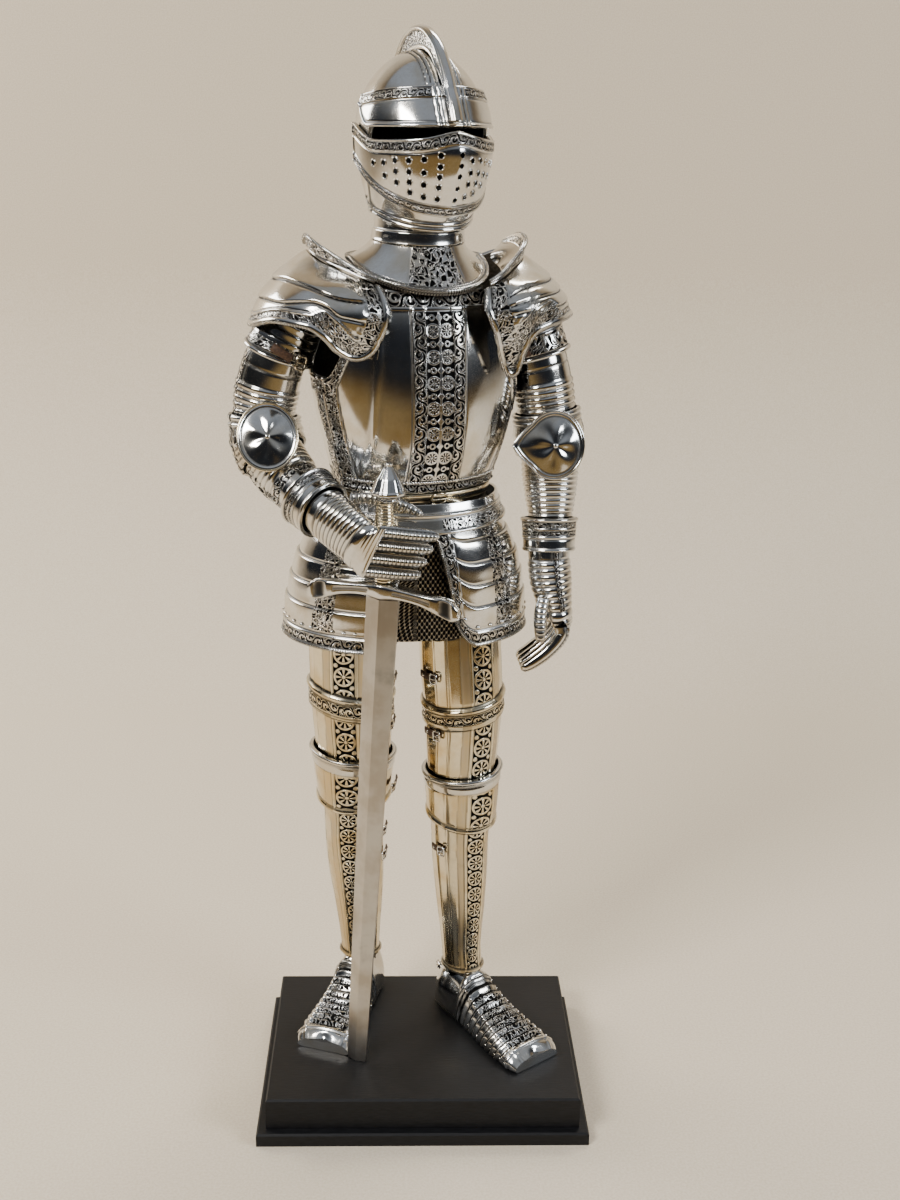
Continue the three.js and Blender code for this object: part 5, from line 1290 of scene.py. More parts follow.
def buildArm(side):
    form, spots = armForms[side], armSpots[side]
    elbow, foot, seam, top = spots["elbow"], spots["cannonFoot"], spots["lamesFoot"], spots["top"]
    strip = [stripBand("scroll", spots["strip"], 15, 5)]

    def edges(g):
        # the corded strip stands proud between two fine lines
        off = np.abs(offAngle(g, spots["strip"]))
        return 0.5 * bend((17 - off) / 2.5) + 0.3 * dome((off - 16) / 2)
    sleeve = Sheets()
    layPlate(sleeve, form, elbow - 14, top + 8, step=1.1, wall=1, lift=-2.2,
             zones=[patch("mail", lambda g: g["u"] >= 0, "first", 2.1, "s", 2.9)], base="mail", contrast=0.4)
    sleeve.finish("mail_sleeve_" + side + "_net", ["mail_sleeve_" + side])

    upper = Sheets()
    rings = ringsBetween(6, foot, spots["rings"], 0.55)
    layPlate(upper, form, foot, seam + 6, step=(1.2, 0.7),
             relief=lambda g: rings(g) + edges(g)
             + groove(g["s"] - (spots["rings"] + seam) / 2 - 1, 0.3, 0.25),
             zones=strip, marks=ringMarks(6, foot, spots["rings"], foot, seam + 6))
    upper.finish("upper_cannon_" + side + "_rings", ["upper_cannon_" + side])

    spaudler = Sheets()
    height = top - seam
    reach, seamAt = top + spots["tuck"], seam + 0.55 * (top - seam)
    layPlate(spaudler, form, seam, reach, step=(1.0, 0.4), wall=1.1, lift=2.2,
             relief=lambda g: roll(g["low"], 1.7, 0.8) + groove(g["low"] - 2.1, 0.3, 0.3)
             + lames(3, 0.6)(dict(g, v=np.clip((g["s"] - seamAt) / (reach - seamAt), 0, 1))),
             zones=[lowBand("foliage", 2.4, height * 0.55 - 1)])
    s, a0, a1 = spots["strap"]
    strapOn(spaudler, form, (s, a0), (s - 1.5, a1), 3.3, 3.4, thick=0.7)
    buckleOn(spaudler, form, s - 2, spots["buckle"], 4.2, 4.6, 5.2, 0.55, "gilt")
    spaudler.finish("spaudler_" + side + "_plates", ["spaudler_" + side])

    lower = Sheets()
    end = elbow - 4
    start = 18 if side == "R" else 9
    count = 7 if side == "R" else 15
    rings = ringsBetween(count, start, end, 0.5)
    layPlate(lower, form, 2.4, end, step=(1.2, 0.7),
             relief=lambda g: rings(g) + edges(g) + groove(g["s"] - start + 1.2, 0.3, 0.25),
             zones=[stripBand("foliage", spots["strip"], 24 if side == "R" else 15, 5),
                    ("scroll", lambda g: (g["s"] < start - 2) & (g["s"] > start - 6),
                     lambda g: g["first"] / 4, lambda g: (g["s"] - start + 6) / 4)],
             marks=ringMarks(count, start, end, 2.4, end))
    lower.finish("lower_cannon_" + side + "_rings", ["lower_cannon_" + side])

    couter = Sheets()
    layPlate(couter, form, elbow - 7, elbow + 11, step=(1.0, 0.6), wall=1.2, lift=2.5,
             relief=lambda g: 0.9 * np.exp(-((g["v"] - 0.5) / 0.16) ** 2)
             + lames(3, 0.5)(dict(g, v=np.clip(g["v"] / 0.32, 0, 1))) * (g["v"] < 0.32)
             + 0.5 * dome((g["v"] - 0.94) / 0.05) + 0.5 * dome((g["v"] - 0.8) / 0.04) + edges(g) * 0.6,
             zones=[stripBand("foliage", spots["strip"], 30, 5, lambda g: (g["v"] > 0.35) & (g["v"] < 0.72)),
                    stripBand("scroll", spots["strip"], 15, 5)],
             marks=[0.3, 0.32, 0.34, 0.76, 0.78, 0.8, 0.82, 0.84, 0.89, 0.92, 0.94, 0.96, 0.99])
    couter.finish("couter_" + side + "_plate", ["couter_" + side])

    looks = fans[side]
    out = unit(np.array(looks["faces"]))
    across = unit(np.cross([0, 0, 1.0], out))
    up = np.cross(out, across)
    a = np.linspace(0, 2 * math.pi, 97)[:-1]
    near = np.abs((np.degrees(a) - 180 + 540) % 360 - 180)
    rim = 1 + looks["point"] / looks["wide"] * np.maximum(0, 1 - near / 42) ** 1.6
    t = np.concatenate([[0.02], np.linspace(0.08, 0.8, 16), [0.85, 0.88, 0.9, 0.92, 0.94, 0.96, 0.98, 1.0]])
    T, A = np.meshgrid(t, a, indexing="ij")
    R = T * rim
    # a dished shell with soft radiating folds and a raised rim
    deep = 2.6 * (1 - T * T) + 0.55 * bend((T - 0.86) / 0.05) + 0.35 * np.sin(A * 5
        + 0.6) * np.sin(math.pi * np.clip(T / 0.86, 0, 1)) ** 2 * (T < 0.86)
    points = (np.array(looks["middle"]) + across * (looks["wide"] * R * np.cos(A))[..., None]
              + up * (looks["tall"] * R * np.sin(A))[..., None]
              + out * deep[..., None])
    fan = Sheets()
    layShell(fan, points, plateWall, around=True, flip=True,
             dark=np.clip(0.7 * np.exp(-((T - 0.84) / 0.02) ** 2), 0, 1))
    fan.solid(points[0], [list(range(96))], "plain")
    tube(fan, points[-2] + out * 0.1, 0.5, looks["rim"], 8, True)
    bead(fan, [points[0].mean(0)], [out], 1.1, tall=0.5)
    fan.finish("couter_fan_" + side + "_dish", ["couter_fan_" + side])


for side in ("R", "L"):
    buildArm(side)
print("arms made")

handColumns = "at x y z side front back"
hands = {
    "R": (Form(handColumns, [
        [0, -25.4, -29.2, 260.2, 10.8, 5.4, 5.2], [8, -31, -24.6, 264.6, 10.8, 7, 6.4],
        [16, -37, -19, 268.6, 10.6, 8.6, 8],
        [24, -42.6, -13, 271.8, 10.2, 9.8, 9.4], [31, -46.6, -8.4, 274, 10.2, 10.2, 10],
        [36, -49.4, -5.6, 275.6, 10.6, 10.6, 10.6]],
        bent=True, faces=[-0.45, -0.85, -0.2]), 23, 36, -62),
    "L": (Form(handColumns, [
        [0, 55, 17.4, 217, 6.4, 9.8, 9.6], [8, 53.8, 18.4, 225, 7.4, 10, 9.6],
        [16, 52.4, 19.6, 233, 8.6, 9.8, 9.4],
        [25, 51.4, 21.2, 242, 8.8, 9.4, 9.2], [34, 51.2, 22.8, 251, 9.2, 9.4, 9.4],
        [44, 51.1, 24.8, 261, 9.8, 9.8, 9.8]],
        bent=True, faces=[0.05, -0.99, 0]), 29, 42.6, 12)}


def fingerRows(side, i):
    if side == "R":
        x, y, z = -19.8 - 2.3 * i, -31 + 0.3 * i, 268 - 5.3 * i
        return [[x, y, z, 2.5, 2.9], [x + 5, y + 0.2, z - 0.4, 2.5, 3], [x + 12, y + 0.5, z - 1.2, 2.45, 2.9],
                [x + 18, y + 1.1, z - 1.8, 2.3, 2.7], [x + 23, y + 2.2, z - 2.4, 1.7, 2]]
    y, x = 10.2 + 5.1 * i, 56.6 - 0.3 * i
    return [[x, y, 215.4, 2.2, 3], [x + 0.4, y - 0.2, 211.6, 2.3, 3.1], [x - 4.6, y - 0.9, 205, 2.3, 2.9],
            [x - 11.6, y - 1.6, 199.4, 2.2, 2.6], [x - 16.6, y - 2, 196.6, 1.7, 1.9]]


thumbs = {"R": [[-31, -12.4, 276.4, 2.6, 2.6], [-25, -14, 277.2, 2.7, 2.7], [-17, -15, 276, 2.5, 2.5],
                [-9, -15.8, 273.6, 2.2, 2.2],
                [-3, -17, 271, 1.2, 1.2]],
          "L": [[48.4, 7, 229, 2.6, 2.6], [47.2, 5.2, 222.6, 2.8, 2.8], [47.2, 4, 215.6, 2.6, 2.6],
                [47.4, 3.6, 210.4, 1.7, 1.8]]}
# half section of a finger: across the row of fingers, then out from the hand
fingerSection = [(-1, -0.6), (-1.04, 0.1), (-0.98, 0.36), (-0.8, 0.42), (-0.7, 0.55), (-0.55, 0.8),
                 (-0.3, 0.97), (0, 1.02), (0.3, 0.97),
                 (0.55, 0.8), (0.7, 0.55), (0.8, 0.42), (0.98, 0.36), (1.04, 0.1), (1, -0.6), (0.6, -0.95),
                 (-0.6, -0.95)]


def scaledBar(name, rows, flat, section, pitch, node):
    rows = np.array(rows, float)
    knots = np.concatenate([[0], np.cumsum(np.linalg.norm(np.diff(rows[:, :3], axis=0), axis=1))])
    total = knots[-1]
    n = int(total / 0.28)
    s = np.linspace(0, total, n)
    line = np.stack([readColumn(knots, rows[:, k], s) for k in range(3)], -1)
    tall, wide = readColumn(knots, rows[:, 3], s), readColumn(knots, rows[:, 4], s)
    ahead = unit(np.gradient(line, axis=0))
    up = np.array(flat, float) - ahead * (ahead @ np.array(flat, float))[:, None]
    up = unit(up)
    out = np.cross(ahead, up)
    f = (s / pitch) % 1
    scale = 0.34 * bend(f / 0.75) * bend((1 - f) / 0.14)
    # the tip is rounded off
    tip = np.sqrt(np.clip(1 - np.clip((s - total + 2.2) / 2.3, 0, 1) ** 2, 0.02, 1))
    ring = np.zeros((n, len(section), 3))
    dark = np.zeros((n, len(section)))
    for j, (x, y) in enumerate(section):
        onBack = bend((y - 0.45) / 0.3)
        ring[:, j] = line + up * (x * tall * tip)[:,
            None] + out * ((y * wide + (scale - 0.16) * onBack) * tip)[:, None]
        dark[:, j] = onBack * np.clip(0.75 - scale * 2.6, 0, 1) + (0.75 if 0.4 < y < 0.58 else 0)
    sheet = Sheets()
    sheet.grid(ring, dark, True, True, filled(n - 1, len(section), "plain"))
    sheet.caps(ring, "plain")
    sheet.finish(name, [node])


def buildHand(side):
    form, cuffFrom, cuffTo, seamAt = hands[side]
    top = cuffFrom + 3
    sheet = Sheets()
    count = 9 if side == "R" else 8
    first, last = 4.2, cuffFrom - 4.5
    rings = ringsBetween(count, first, last, 0.5)

    def relief(g):
        d = np.abs(offAngle(g, seamAt))
        strip = 0.45 * bend((9 - d) / 2) + 0.35 * dome((d - 8.5) / 1.6)
        return (0.75 * dome((g["s"] - 1.9) / 1.9) * (g["s"] < 3.8) + rings(g) * (d > 9)
                + strip * (g["s"] > 3.8) + groove(g["s"] - last - 0.6, 0.3, 0.25))
    layPlate(sheet, form, 0, top, step=(0.9, 0.6), relief=relief,
             zones=[stripBand("scroll", seamAt, 8, 3.2, lambda g: g["s"] > 3.8)],
             marks=ringMarks(count, first, last, 0, top) + [0.4 / top, 1 / top, 2 / top, 3 / top, 3.7 / top])
    # the knuckle end is closed behind the fingers with a plain web in the near-black inside finish, painted
    # shade behind the knuckles
    rim = onForm(form, 0.4, np.linspace(0, 360, 48, endpoint=False), -0.9)[0]
    sheet.solid(rim, [list(range(48))[::-1]], "inside", 0.4)
    # a plate over the knuckles, from the gauntlet to the roots of the fingers
    near, far = (np.array(fingerRows(side, i)[0][:3]) for i in (0, 3))
    out = np.array([0, -1.0, 0]) if side == "R" else np.array([1.0, 0, 0])
    turns = np.linspace(-80, 80, 40) if side == "R" else np.linspace(170, 10, 40)
    top = onForm(form, 0.6, turns, 0.3)[0]
    if (top[0] - top[-1]) @ (near - far) < 0:
        top = top[::-1]
    f = np.linspace(-0.13, 1.13, 40)[:, None]
    root, knuckle = fingerRows(side, 1)[:2]
    ahead = unit(np.array(knuckle[:3]) - np.array(root[:3]))
    foot = near * (1 - f) + far * f + out * 3.2 + ahead * 1.5
    k = np.linspace(0, 1, 16)[:, None, None]
    bridge = top[None] * (1 - k) + foot[None] * k + out * (0.9 * np.sin(math.pi * k)) + out * (0.25
        * np.sin(k * 9.5 * math.pi))
    facing = np.cross(np.gradient(bridge, axis=1), np.gradient(bridge, axis=0)).mean((0, 1)) @ out
    layShell(sheet, bridge, 0.6, flip=bool(facing < 0))
    sheet.finish("gauntlet_" + side + "_plates", ["gauntlet_" + side])

    cuff = Sheets()
    tall = cuffTo - cuffFrom
    layPlate(cuff, form, cuffFrom, cuffTo, step=(0.8, 0.45), wall=1.3, lift=2.0,
             relief=lambda g: roll(g["high"], 1.6, 0.8) + 0.45 * dome((g["low"] - 0.5) / 0.6)
             + 0.4 * dome((g["low"] - tall * 0.42) / 0.45)
             + 0.35 * dome((g["low"] - tall * 0.66) / 0.4) + groove(g["low"] - tall * 0.42 + 0.8, 0.3, 0.25),
             zones=[("scroll", lambda g: (g["low"] > tall * 0.45) & (g["low"] < tall * 0.64),
                     lambda g: g["first"] / 3, lambda g: (g["low"] / tall - 0.45) / 0.19),
                    patch("foliage", lambda g: (g["low"] > tall * 0.69) & (g["high"] > 1.7), "first", 3.4)],
             marks=[0.42, 0.66])
    cuff.finish("cuff_" + side + "_band", ["cuff_" + side])
    flat = [0, 0, 1] if side == "R" else [0, 1, 0]
    for i in range(4):
        scaledBar("finger_" + side + "_scales_" + str(i + 1), fingerRows(side, i), flat, fingerSection, 1.55,
                  "finger_" + side + "_" + str(i + 1))
    round16 = [(math.cos(t), math.sin(t)) for t in np.linspace(0, 2 * math.pi, 17)[:-1]]
    scaledBar("thumb_" + side + "_scales", thumbs[side], [0, 0, 1] if side == "R" else [1, 0, 0.01], round16,
              2.2, "thumb_" + side)


for side in ("R", "L"):
    buildHand(side)
print("hands made")

legForms = {
    "R": Form("at x y side front back keel", [
        [42, -29, 33, 9, 9.5, 10, 0], [52, -29.3, 32.8, 9.2, 9, 10.5, 0.3],
        [73, -30, 31.5, 11.2, 10.8, 14, 0.5],
        [90, -31, 30, 12.8, 12.4, 15.5, 0.5], [108, -31.8, 28.5, 13.4, 13.4, 14.5, 0.4],
        [125, -31.8, 27, 14, 14.6, 13, 0.3],
        [145, -31.8, 25.5, 16, 16, 15, 0.3], [178, -32.6, 24, 18, 18, 18, 0.4],
        [205, -32.8, 22.6, 18.6, 18.6, 19, 0.4],
        [222, -33.2, 21.7, 18.8, 19.4, 17.4, 0.2], [240, -32.4, 22, 17.4, 17.4, 17.4, 0]], -8),
    "L": Form("at x y side front back keel", [
        [42, 19, 20, 9, 9.5, 10, 0], [57, 18.1, 20, 9, 9, 10.5, 0.3], [78, 17.6, 19.5, 10.8, 10.6, 13.5, 0.5],
        [98, 16.9, 19, 12.2, 12, 15, 0.5], [114, 16.3, 18.5, 12.8, 13, 14.2, 0.4],
        [129, 16.2, 18, 13.8, 14.4, 13, 0.3],
        [148, 16, 18, 15.2, 15.6, 14.6, 0.3], [177, 16, 19, 17.2, 17.4, 17.4, 0.4],
        [201, 14.6, 20.5, 17.8, 17.8, 18.2, 0.4],
        [240, 13, 22, 16.6, 16.6, 17.4, 0]], 30)}
knees = {"R": {"foot": 126.5, "top": 153.5, "bandFoot": 173, "bandTop": 184, "inner": 86,
               "strapAt": (188, 205, 167, 137, 113, 100)},
         "L": {"foot": 120.5, "top": 148, "bandFoot": 172.5, "bandTop": 182, "inner": -84,
               "strapAt": (193, 167, 110)}}
legLooks = {"bandWidths": (6.4, 9.6, 10.2, 10.8), "facets": (4.8, 10.6, 16.8, 24), "flatness": 0.9}


def buildLeg(side):
    form, spots = legForms[side], knees[side]
    foot, top, bandFoot, bandTop = spots["foot"], spots["top"], spots["bandFoot"], spots["bandTop"]
    tilt = -3 if side == "R" else 3
    slant = lambda a: tilt * np.sin(np.radians(a))
    width = lambda z: np.interp(z, [50, 110, 150, 230], legLooks["bandWidths"])

    def panels(g):
        # a ridge beside the etched band, then flat facets that meet in dark creases
        d = np.abs(g["side"]) - width(g["s"]) / 2
        scaleAt = width(g["s"]) / 10.4
        total = 0.42 * dome((d - 0.45) / 0.45) + groove(d - 1.15, 0.25, 0.2)
        edges = [1.2] + [at * scaleAt for at in legLooks["facets"]]
        for near, far in zip(edges, edges[1:]):
            half = (far - near) / 2
            inFacet = np.clip(1 - ((d - near - half) / half) ** 2, 0, 1)
            total = total - legLooks["flatness"] * half ** 2 / 34 * inFacet
            total = total + groove(d - far, 0.28, 0.3)
        return total
    hatched = ("brushed", lambda g: (np.abs(g["side"]) > width(g["s"]) / 2 + 1)
               & (np.abs(g["side"]) < width(g["s"]) / 2 + legLooks["facets"][0] * width(g["s"]) / 10.4),
               lambda g: g["side"], lambda g: g["s"])
    greave = Sheets()
    layPlate(greave, form, ankleTop + 0.3, foot + 11, step=(0.5, 1.3), base="legPlain",
             relief=lambda g: roll(g["low"], 1.8, 1.0) + panels(g) * bend((g["low"] - 1.5) / 1.5),
             zones=[hatched, taperBand("wheels", width, lambda g: g["low"] > 2)])
    greave.finish("greave_" + side + "_plate", ["greave_" + side])

    poleyn = Sheets()
    layPlate(poleyn, form, lambda a: foot + 3.5 - 3.5 * np.cos(np.radians(a)), lambda a: top + slant(a) / 2,
             step=(0.5, 0.75), wall=1.3, lift=1.9, base="legPlain",
             relief=lambda g: np.maximum(0, np.cos(np.radians(g["a"]))) ** 2 * np.sin(math.pi * g["v"])
             + roll(g["low"], 2.2, 0.7)
             + roll(g["high"], 1.6, 0.7) + groove(g["high"] - 2.6, 0.4, 0.4)
             + 0.35 * bend((6.4 - g["high"]) / 0.6) + panels(g) * 0.7 * (g["high"] > 6.4) * (g["low"] > 2.4)
             + groove(g["low"] - 3, 0.4, 0.3),
             zones=[hatched, taperBand("wheels", width, lambda g: (g["high"] > 6.4) & (g["low"] > 2.6)),
                    patch("plain", lambda g: g["high"] < 6.4, "first", 1)])
    poleyn.finish("poleyn_" + side + "_plate", ["poleyn_" + side])

    cuisse = Sheets()
    level = lambda g: g["s"] - slant(g["a"])
    # the top plate has a slanting etched border on the left leg
    border = (lambda g: g["s"] - (214
                                  + 4.5 * np.sin(np.radians(g["a"]
                                      + 30)))) if side == "L" else (lambda g: g["s"] - 240)

    def relief(g):
        z = level(g)
        band = bend((z - bandFoot) / 0.5) * bend((bandTop - z) / 0.5)
        b = border(g)
        return (panels(g) * (1 - band) * bend((z - bandTop) * (z - bandFoot) / 4) + 0.7 * band
                + 0.7 * dome((z - bandTop + 1.3) / 1.2)
                + 0.4 * dome((z - bandFoot - 0.6) / 0.6) + groove(z - bandTop - 0.6, 0.5, 0.5)
                + groove(z - bandTop + 3, 0.4, 0.5)
                + 0.4 * dome((z - bandFoot - 1.9) / 0.4) + 0.5 * bend(b / 0.4) + 0.4 * dome((b - 0.6) / 0.6)
                + groove(b + 0.5, 0.4, 0.4))
    layPlate(cuisse, form, lambda a: top - 7 + slant(a), lambda a: 227 + slant(a), step=(0.5, 0.8),
             base="legPlain", relief=relief,
             zones=[hatched, taperBand("wheels", width,
                                       lambda g: ((level(g) > bandTop + 1) | (level(g) < bandFoot - 0.6))
                                       & (border(g) < 0)),
                    ("legScroll", lambda g: (level(g) > bandFoot + 2.2) & (level(g) < bandTop - 3.4),
                     lambda g: g["first"] / 4,
                     lambda g: (level(g) - bandFoot - 2.2) / (bandTop - bandFoot - 5.6)),
                    ("legScroll", lambda g: (border(g) > 1) & (border(g) < 5), lambda g: g["first"] / 4,
                     lambda g: (border(g) - 1) / 4)])
    cuisse.finish("cuisse_" + side + "_plate", ["cuisse_" + side])

    fittings = Sheets()
    inner = spots["inner"]
    for s in spots["strapAt"]:
        # straps over the knee plate lie further out
        lift = 0.5 if s > foot + 11 or s < foot - 3 else 3.2
        strapOn(fittings, form, (s, inner + 16), (s, inner - 14), lift + 0.5, 3.0, thick=0.5)
        buckleOn(fittings, form, s, inner - (14 if side == "R" else -14), lift + 1.2, 3.4, 4.2, 0.45)
        spot, out = onForm(form, [s, s], [inner + 15, inner - 6], lift + 1)
        bead(fittings, spot, out, 0.7)
    fittings.finish("leg_" + side + "_straps", [])


for side in ("R", "L"):
    buildLeg(side)
print("legs made")

feet = {"R": {"ankle": [-29, 33], "turn": -19, "length": 62},
        "L": {"ankle": [19, 20], "turn": 36, "length": 67}}
heelToAnkle = 13.5
# fractions of the shoe's length, then widths in steps round its outline
shoeLooks = {"lamesFrom": 0.36, "lamesTo": 0.9, "lames": 10, "trail": 0.045, "panelHalf": 1.7,
             "panelFrom": 0.45,
             "panelTo": 0.91, "insteps": (0.385, 0.405, 0.425), "ankle": 7.0, "wall": 1.4}
shoeRows = np.array([[0, 5, 12], [0.03, 7, 18], [0.1, 8.8, 23.4], [0.2, 9.3, 24.4], [0.32, 9.3, 23.4],
                     [0.42, 9.7, 18.6],
                     [0.55, 10.8, 14.2], [0.7, 12.1, 11], [0.85, 13, 9], [0.95, 13, 7.6], [1, 11.6, 5]])
shoeOutline = np.array([[-0.86, 0], [-1, 0.12], [-0.98, 0.5], [-0.74, 0.84], [-0.36, 1], [0, 1.02],
                        [0.36, 1], [0.74, 0.84], [0.98, 0.5],
                        [1, 0.12], [0.86, 0]])


def buildFoot(side):
    spots, looks = feet[side], shoeLooks
    a = math.radians(spots["turn"])
    ahead, across = np.array([math.sin(a), -math.cos(a), 0]), np.array([math.cos(a), math.sin(a), 0])
    length = spots["length"]
    heel = np.array([*spots["ankle"], soleTop]) - ahead * heelToAnkle
    n = int(length / 0.42)
    t = np.linspace(0, 1, n)
    half, tall = readColumn(shoeRows[:, 0], shoeRows[:, 1], t), readColumn(shoeRows[:, 0], shoeRows[:, 2], t)
    w = np.linspace(0, 10, 90)
    ox, oz = readColumn(np.arange(11.0), shoeOutline[:, 0], w), readColumn(np.arange(11.0),
        shoeOutline[:, 1], w)
    # the toe end is cut in two shallow notches
    T, W = np.meshgrid(t, w, indexing="ij")
    notch = 1.5 * np.exp(-((W - 5) / 0.7) ** 2) * bend((T - 0.93) / 0.07)
    x, z = ox[None] * half[:, None], 0.15 + np.clip(oz[None], 0, 2) * (tall[:, None] - 0.3)
    points = heel + ahead * (T * length - notch)[..., None] + across * x[...,
        None] + np.array([0, 0, 1.0]) * z[..., None]
    # lames from the instep to the toe
    edge, stop, count = looks["lamesFrom"], looks["lamesTo"], looks["lames"]
    trail = T + looks["trail"] * np.clip(np.abs(W - 5) / 3.6, 0, 1.1) ** 2
    f = (trail - edge) / (stop - edge) * count
    g = f - np.floor(f)
    inLames = (f > 0) & (f < count)
    relief = np.where(inLames, 1.15 * bend((1 - g) / 0.85) * bend(g / 0.12) - 0.2,
                      0.3) + 0.35 * dome((W - 3.1) / 0.18) * (T > edge) + 0.35 * dome((W - 6.9)
                          / 0.18) * (T > edge)
    relief += 0.6 * dome((T - 0.34) / 0.02) + 0.5 * dome((T - 0.925) / 0.012)
    sheet = Sheets()
    zone = filled(n - 1, 89, "plain")
    middleT, middleW = (T[:-1, :-1] + T[1:, 1:]) / 2, (W[:-1, :-1] + W[1:, 1:]) / 2
    inPanel = (middleT > looks["panelFrom"]) & (middleT < looks["panelTo"]) & (np.abs(middleW
        - 5) < looks["panelHalf"])
    zone[inPanel] = materialNames.index("foliage")
    coordinates = np.zeros((n, 91, 2))
    coordinates[:, :90, 0], coordinates[:, :90, 1] = T * length / 4.6, x / 4.6
    # hollows of the relief take black patina; the band along the sole is darkened as painted shade
    dark = np.clip((blurred(relief, 2) - relief) * 3.0, 0, 1) + 0.6 * bend((0.14 - oz[None]) / 0.1)
    # wide dark bands at the edges of each lame are painted shade of the lame steps
    dark = dark + np.where(inLames, 1.3 * bend((0.26 - np.minimum(g, 1 - g)) / 0.16), 0)
    # close dark lines across the instep
    for line in looks["insteps"]:
        dark = dark + 1.2 * np.exp(-((trail - line) / 0.0055) ** 2)
    # the ankle's opening in the top of the shoe
    spot = np.array([*spots["ankle"], 0])
    middle = (points[:-1, :-1] + points[1:, 1:]) / 2
    inAnkle = lambda m: (np.hypot(m[..., 0] - spot[0], m[..., 1] - spot[1]) < looks["ankle"]) & (m[...,
        2] > soleTop + 12)
    hole = inAnkle(middle)
    around2 = np.gradient(points, axis=1)
    rise = np.gradient(points, axis=0)
    normal = unit(np.cross(rise, around2))
    sheet.grid(points + normal * relief[..., None], np.clip(dark, 0, 1), False, False, zone, coordinates,
               ~hole)
    # the lining and the sole are darkened as painted shade, and the end caps faintly
    lining = (points - normal * looks["wall"])[::3, ::3]
    middle = (lining[:-1, :-1] + lining[1:, 1:]) / 2
    inside = np.full(middle.shape[:2], materialNames.index("inside"))
    sheet.grid(lining, 0.4, False, True, inside, None, ~inAnkle(middle))
    sole = points[:, [0, -1]]
    sheet.grid(sole, 0.5, False, True, filled(n - 1, 1, "inside"))
    sheet.caps(points + normal * relief[..., None], "plain", True, 0.1)
    ring = []
    for k in np.linspace(0, 2 * math.pi, 49)[:-1]:
        rise = np.interp(math.cos(k - math.atan2(ahead[1], ahead[0])), [-1, 0, 1], [23.2, 23.9, 23.4])
        ring.append([spot[0] + 7.1 * math.cos(k), spot[1] + 7.1 * math.sin(k), soleTop + rise])
    tube(sheet, np.array(ring), 0.55, "plain", 8, True)
    # rivets along the lower edges and pairs on the lames
    rivets, rivetNormals = [], []
    for i in range(count + 1):
        k = int(round((edge + (stop - edge) * (i + 0.3) / count) * (n - 1)))
        if k < n:
            for j in (14, 75, 27, 62):
                rivets.append(points[k, j] + normal[k, j] * (relief[k, j]))
                rivetNormals.append(normal[k, j])
    bead(sheet, rivets, rivetNormals, 0.6)
    sheet.finish("sabaton_" + side + "_lames", ["sabaton_" + side])

    spur = Sheets()
    root = np.array([*spots["ankle"], soleTop + 13.5])
    at = lambda d, up=0.0, over=0.0: root - ahead * (heelToAnkle + d) + np.array([0, 0, up]) + across * over
    tube(spur, np.array([at(0.3), at(1.5, 0.1), at(3.0, 0.3)]), np.array([1.3, 1.0, 0.9]), "plain", 10)
    star = []
    for k in range(16):
        r = 2.5 if k % 2 else 1.3
        star.append(at(4.6 + r * math.cos(k * math.pi / 8), 0.3 + r * math.sin(k * math.pi / 8)))
    both = [p + across * 0.35 for p in star] + [p - across * 0.35 for p in star]
    faces = [list(range(16)), list(range(31, 15, -1))] + [[k, (k + 1) % 16 + 0, 16 + (k + 1) % 16,
        16 + k][::-1] for k in range(16)]
    spur.solid(both, faces, "plain")
    bead(spur, [at(4.6, 0.3, 0.35), at(4.6, 0.3, -0.35)], [across, -across], 0.7, "gilt", 0.6)
    spur.finish("spur_" + side + "_rowel", ["spur_" + side])


for side in ("R", "L"):
    buildFoot(side)
print("feet made")

sword = {"cross": [-18.6, -22.5, 238.3], "gripFoot": 245.6, "gripTop": 277.4, "gripRadius": 3.7,
         "halfGuard": 31.5, "droop": 5.2}


def lathe(sheets, profile, x, y, key, sides=64, flutes=0, depth=0.0):
    profile = np.array(profile, float)
    a = np.linspace(0, 2 * math.pi, sides + 1)[:-1]
    fold = 1 + depth * np.cos(a * flutes) if flutes else np.ones(sides)
    points = np.stack([x + profile[:, :1] * fold * np.cos(a), y + profile[:, :1] * fold * np.sin(a),
                       np.broadcast_to(profile[:, 1:], (len(profile), sides))], -1)
    length = np.concatenate([[0], np.cumsum(np.hypot(*np.diff(profile, axis=0).T))])
    coordinates = np.zeros((len(profile), sides + 1, 2))
    coordinates[..., 0], coordinates[..., 1] = np.linspace(0, 1, sides + 1)[None] * 12, (length / 3)[:, None]
    sheets.grid(points, np.clip(np.gradient(np.gradient(profile[:, 0]))[:, None] * 1.2, 0, 0.8)
                + np.zeros((1, sides)), True, False,
                filled(len(profile) - 1, sides, key), coordinates)
    face = list(range(sides))
    sheets.solid(points[0], [face[::-1]], key)
    sheets.solid(points[-1], [face], key)


def smoothProfile(rows, step=0.25):
    rows = np.array(rows, float)
    knots = np.concatenate([[0], np.cumsum(np.hypot(*np.diff(rows, axis=0).T))])
    t = np.linspace(0, knots[-1], int(knots[-1] / step) + 2)
    return np.stack([np.maximum(0.02, np.interp(t, knots, rows[:, 0])), np.interp(t, knots, rows[:, 1])], -1)


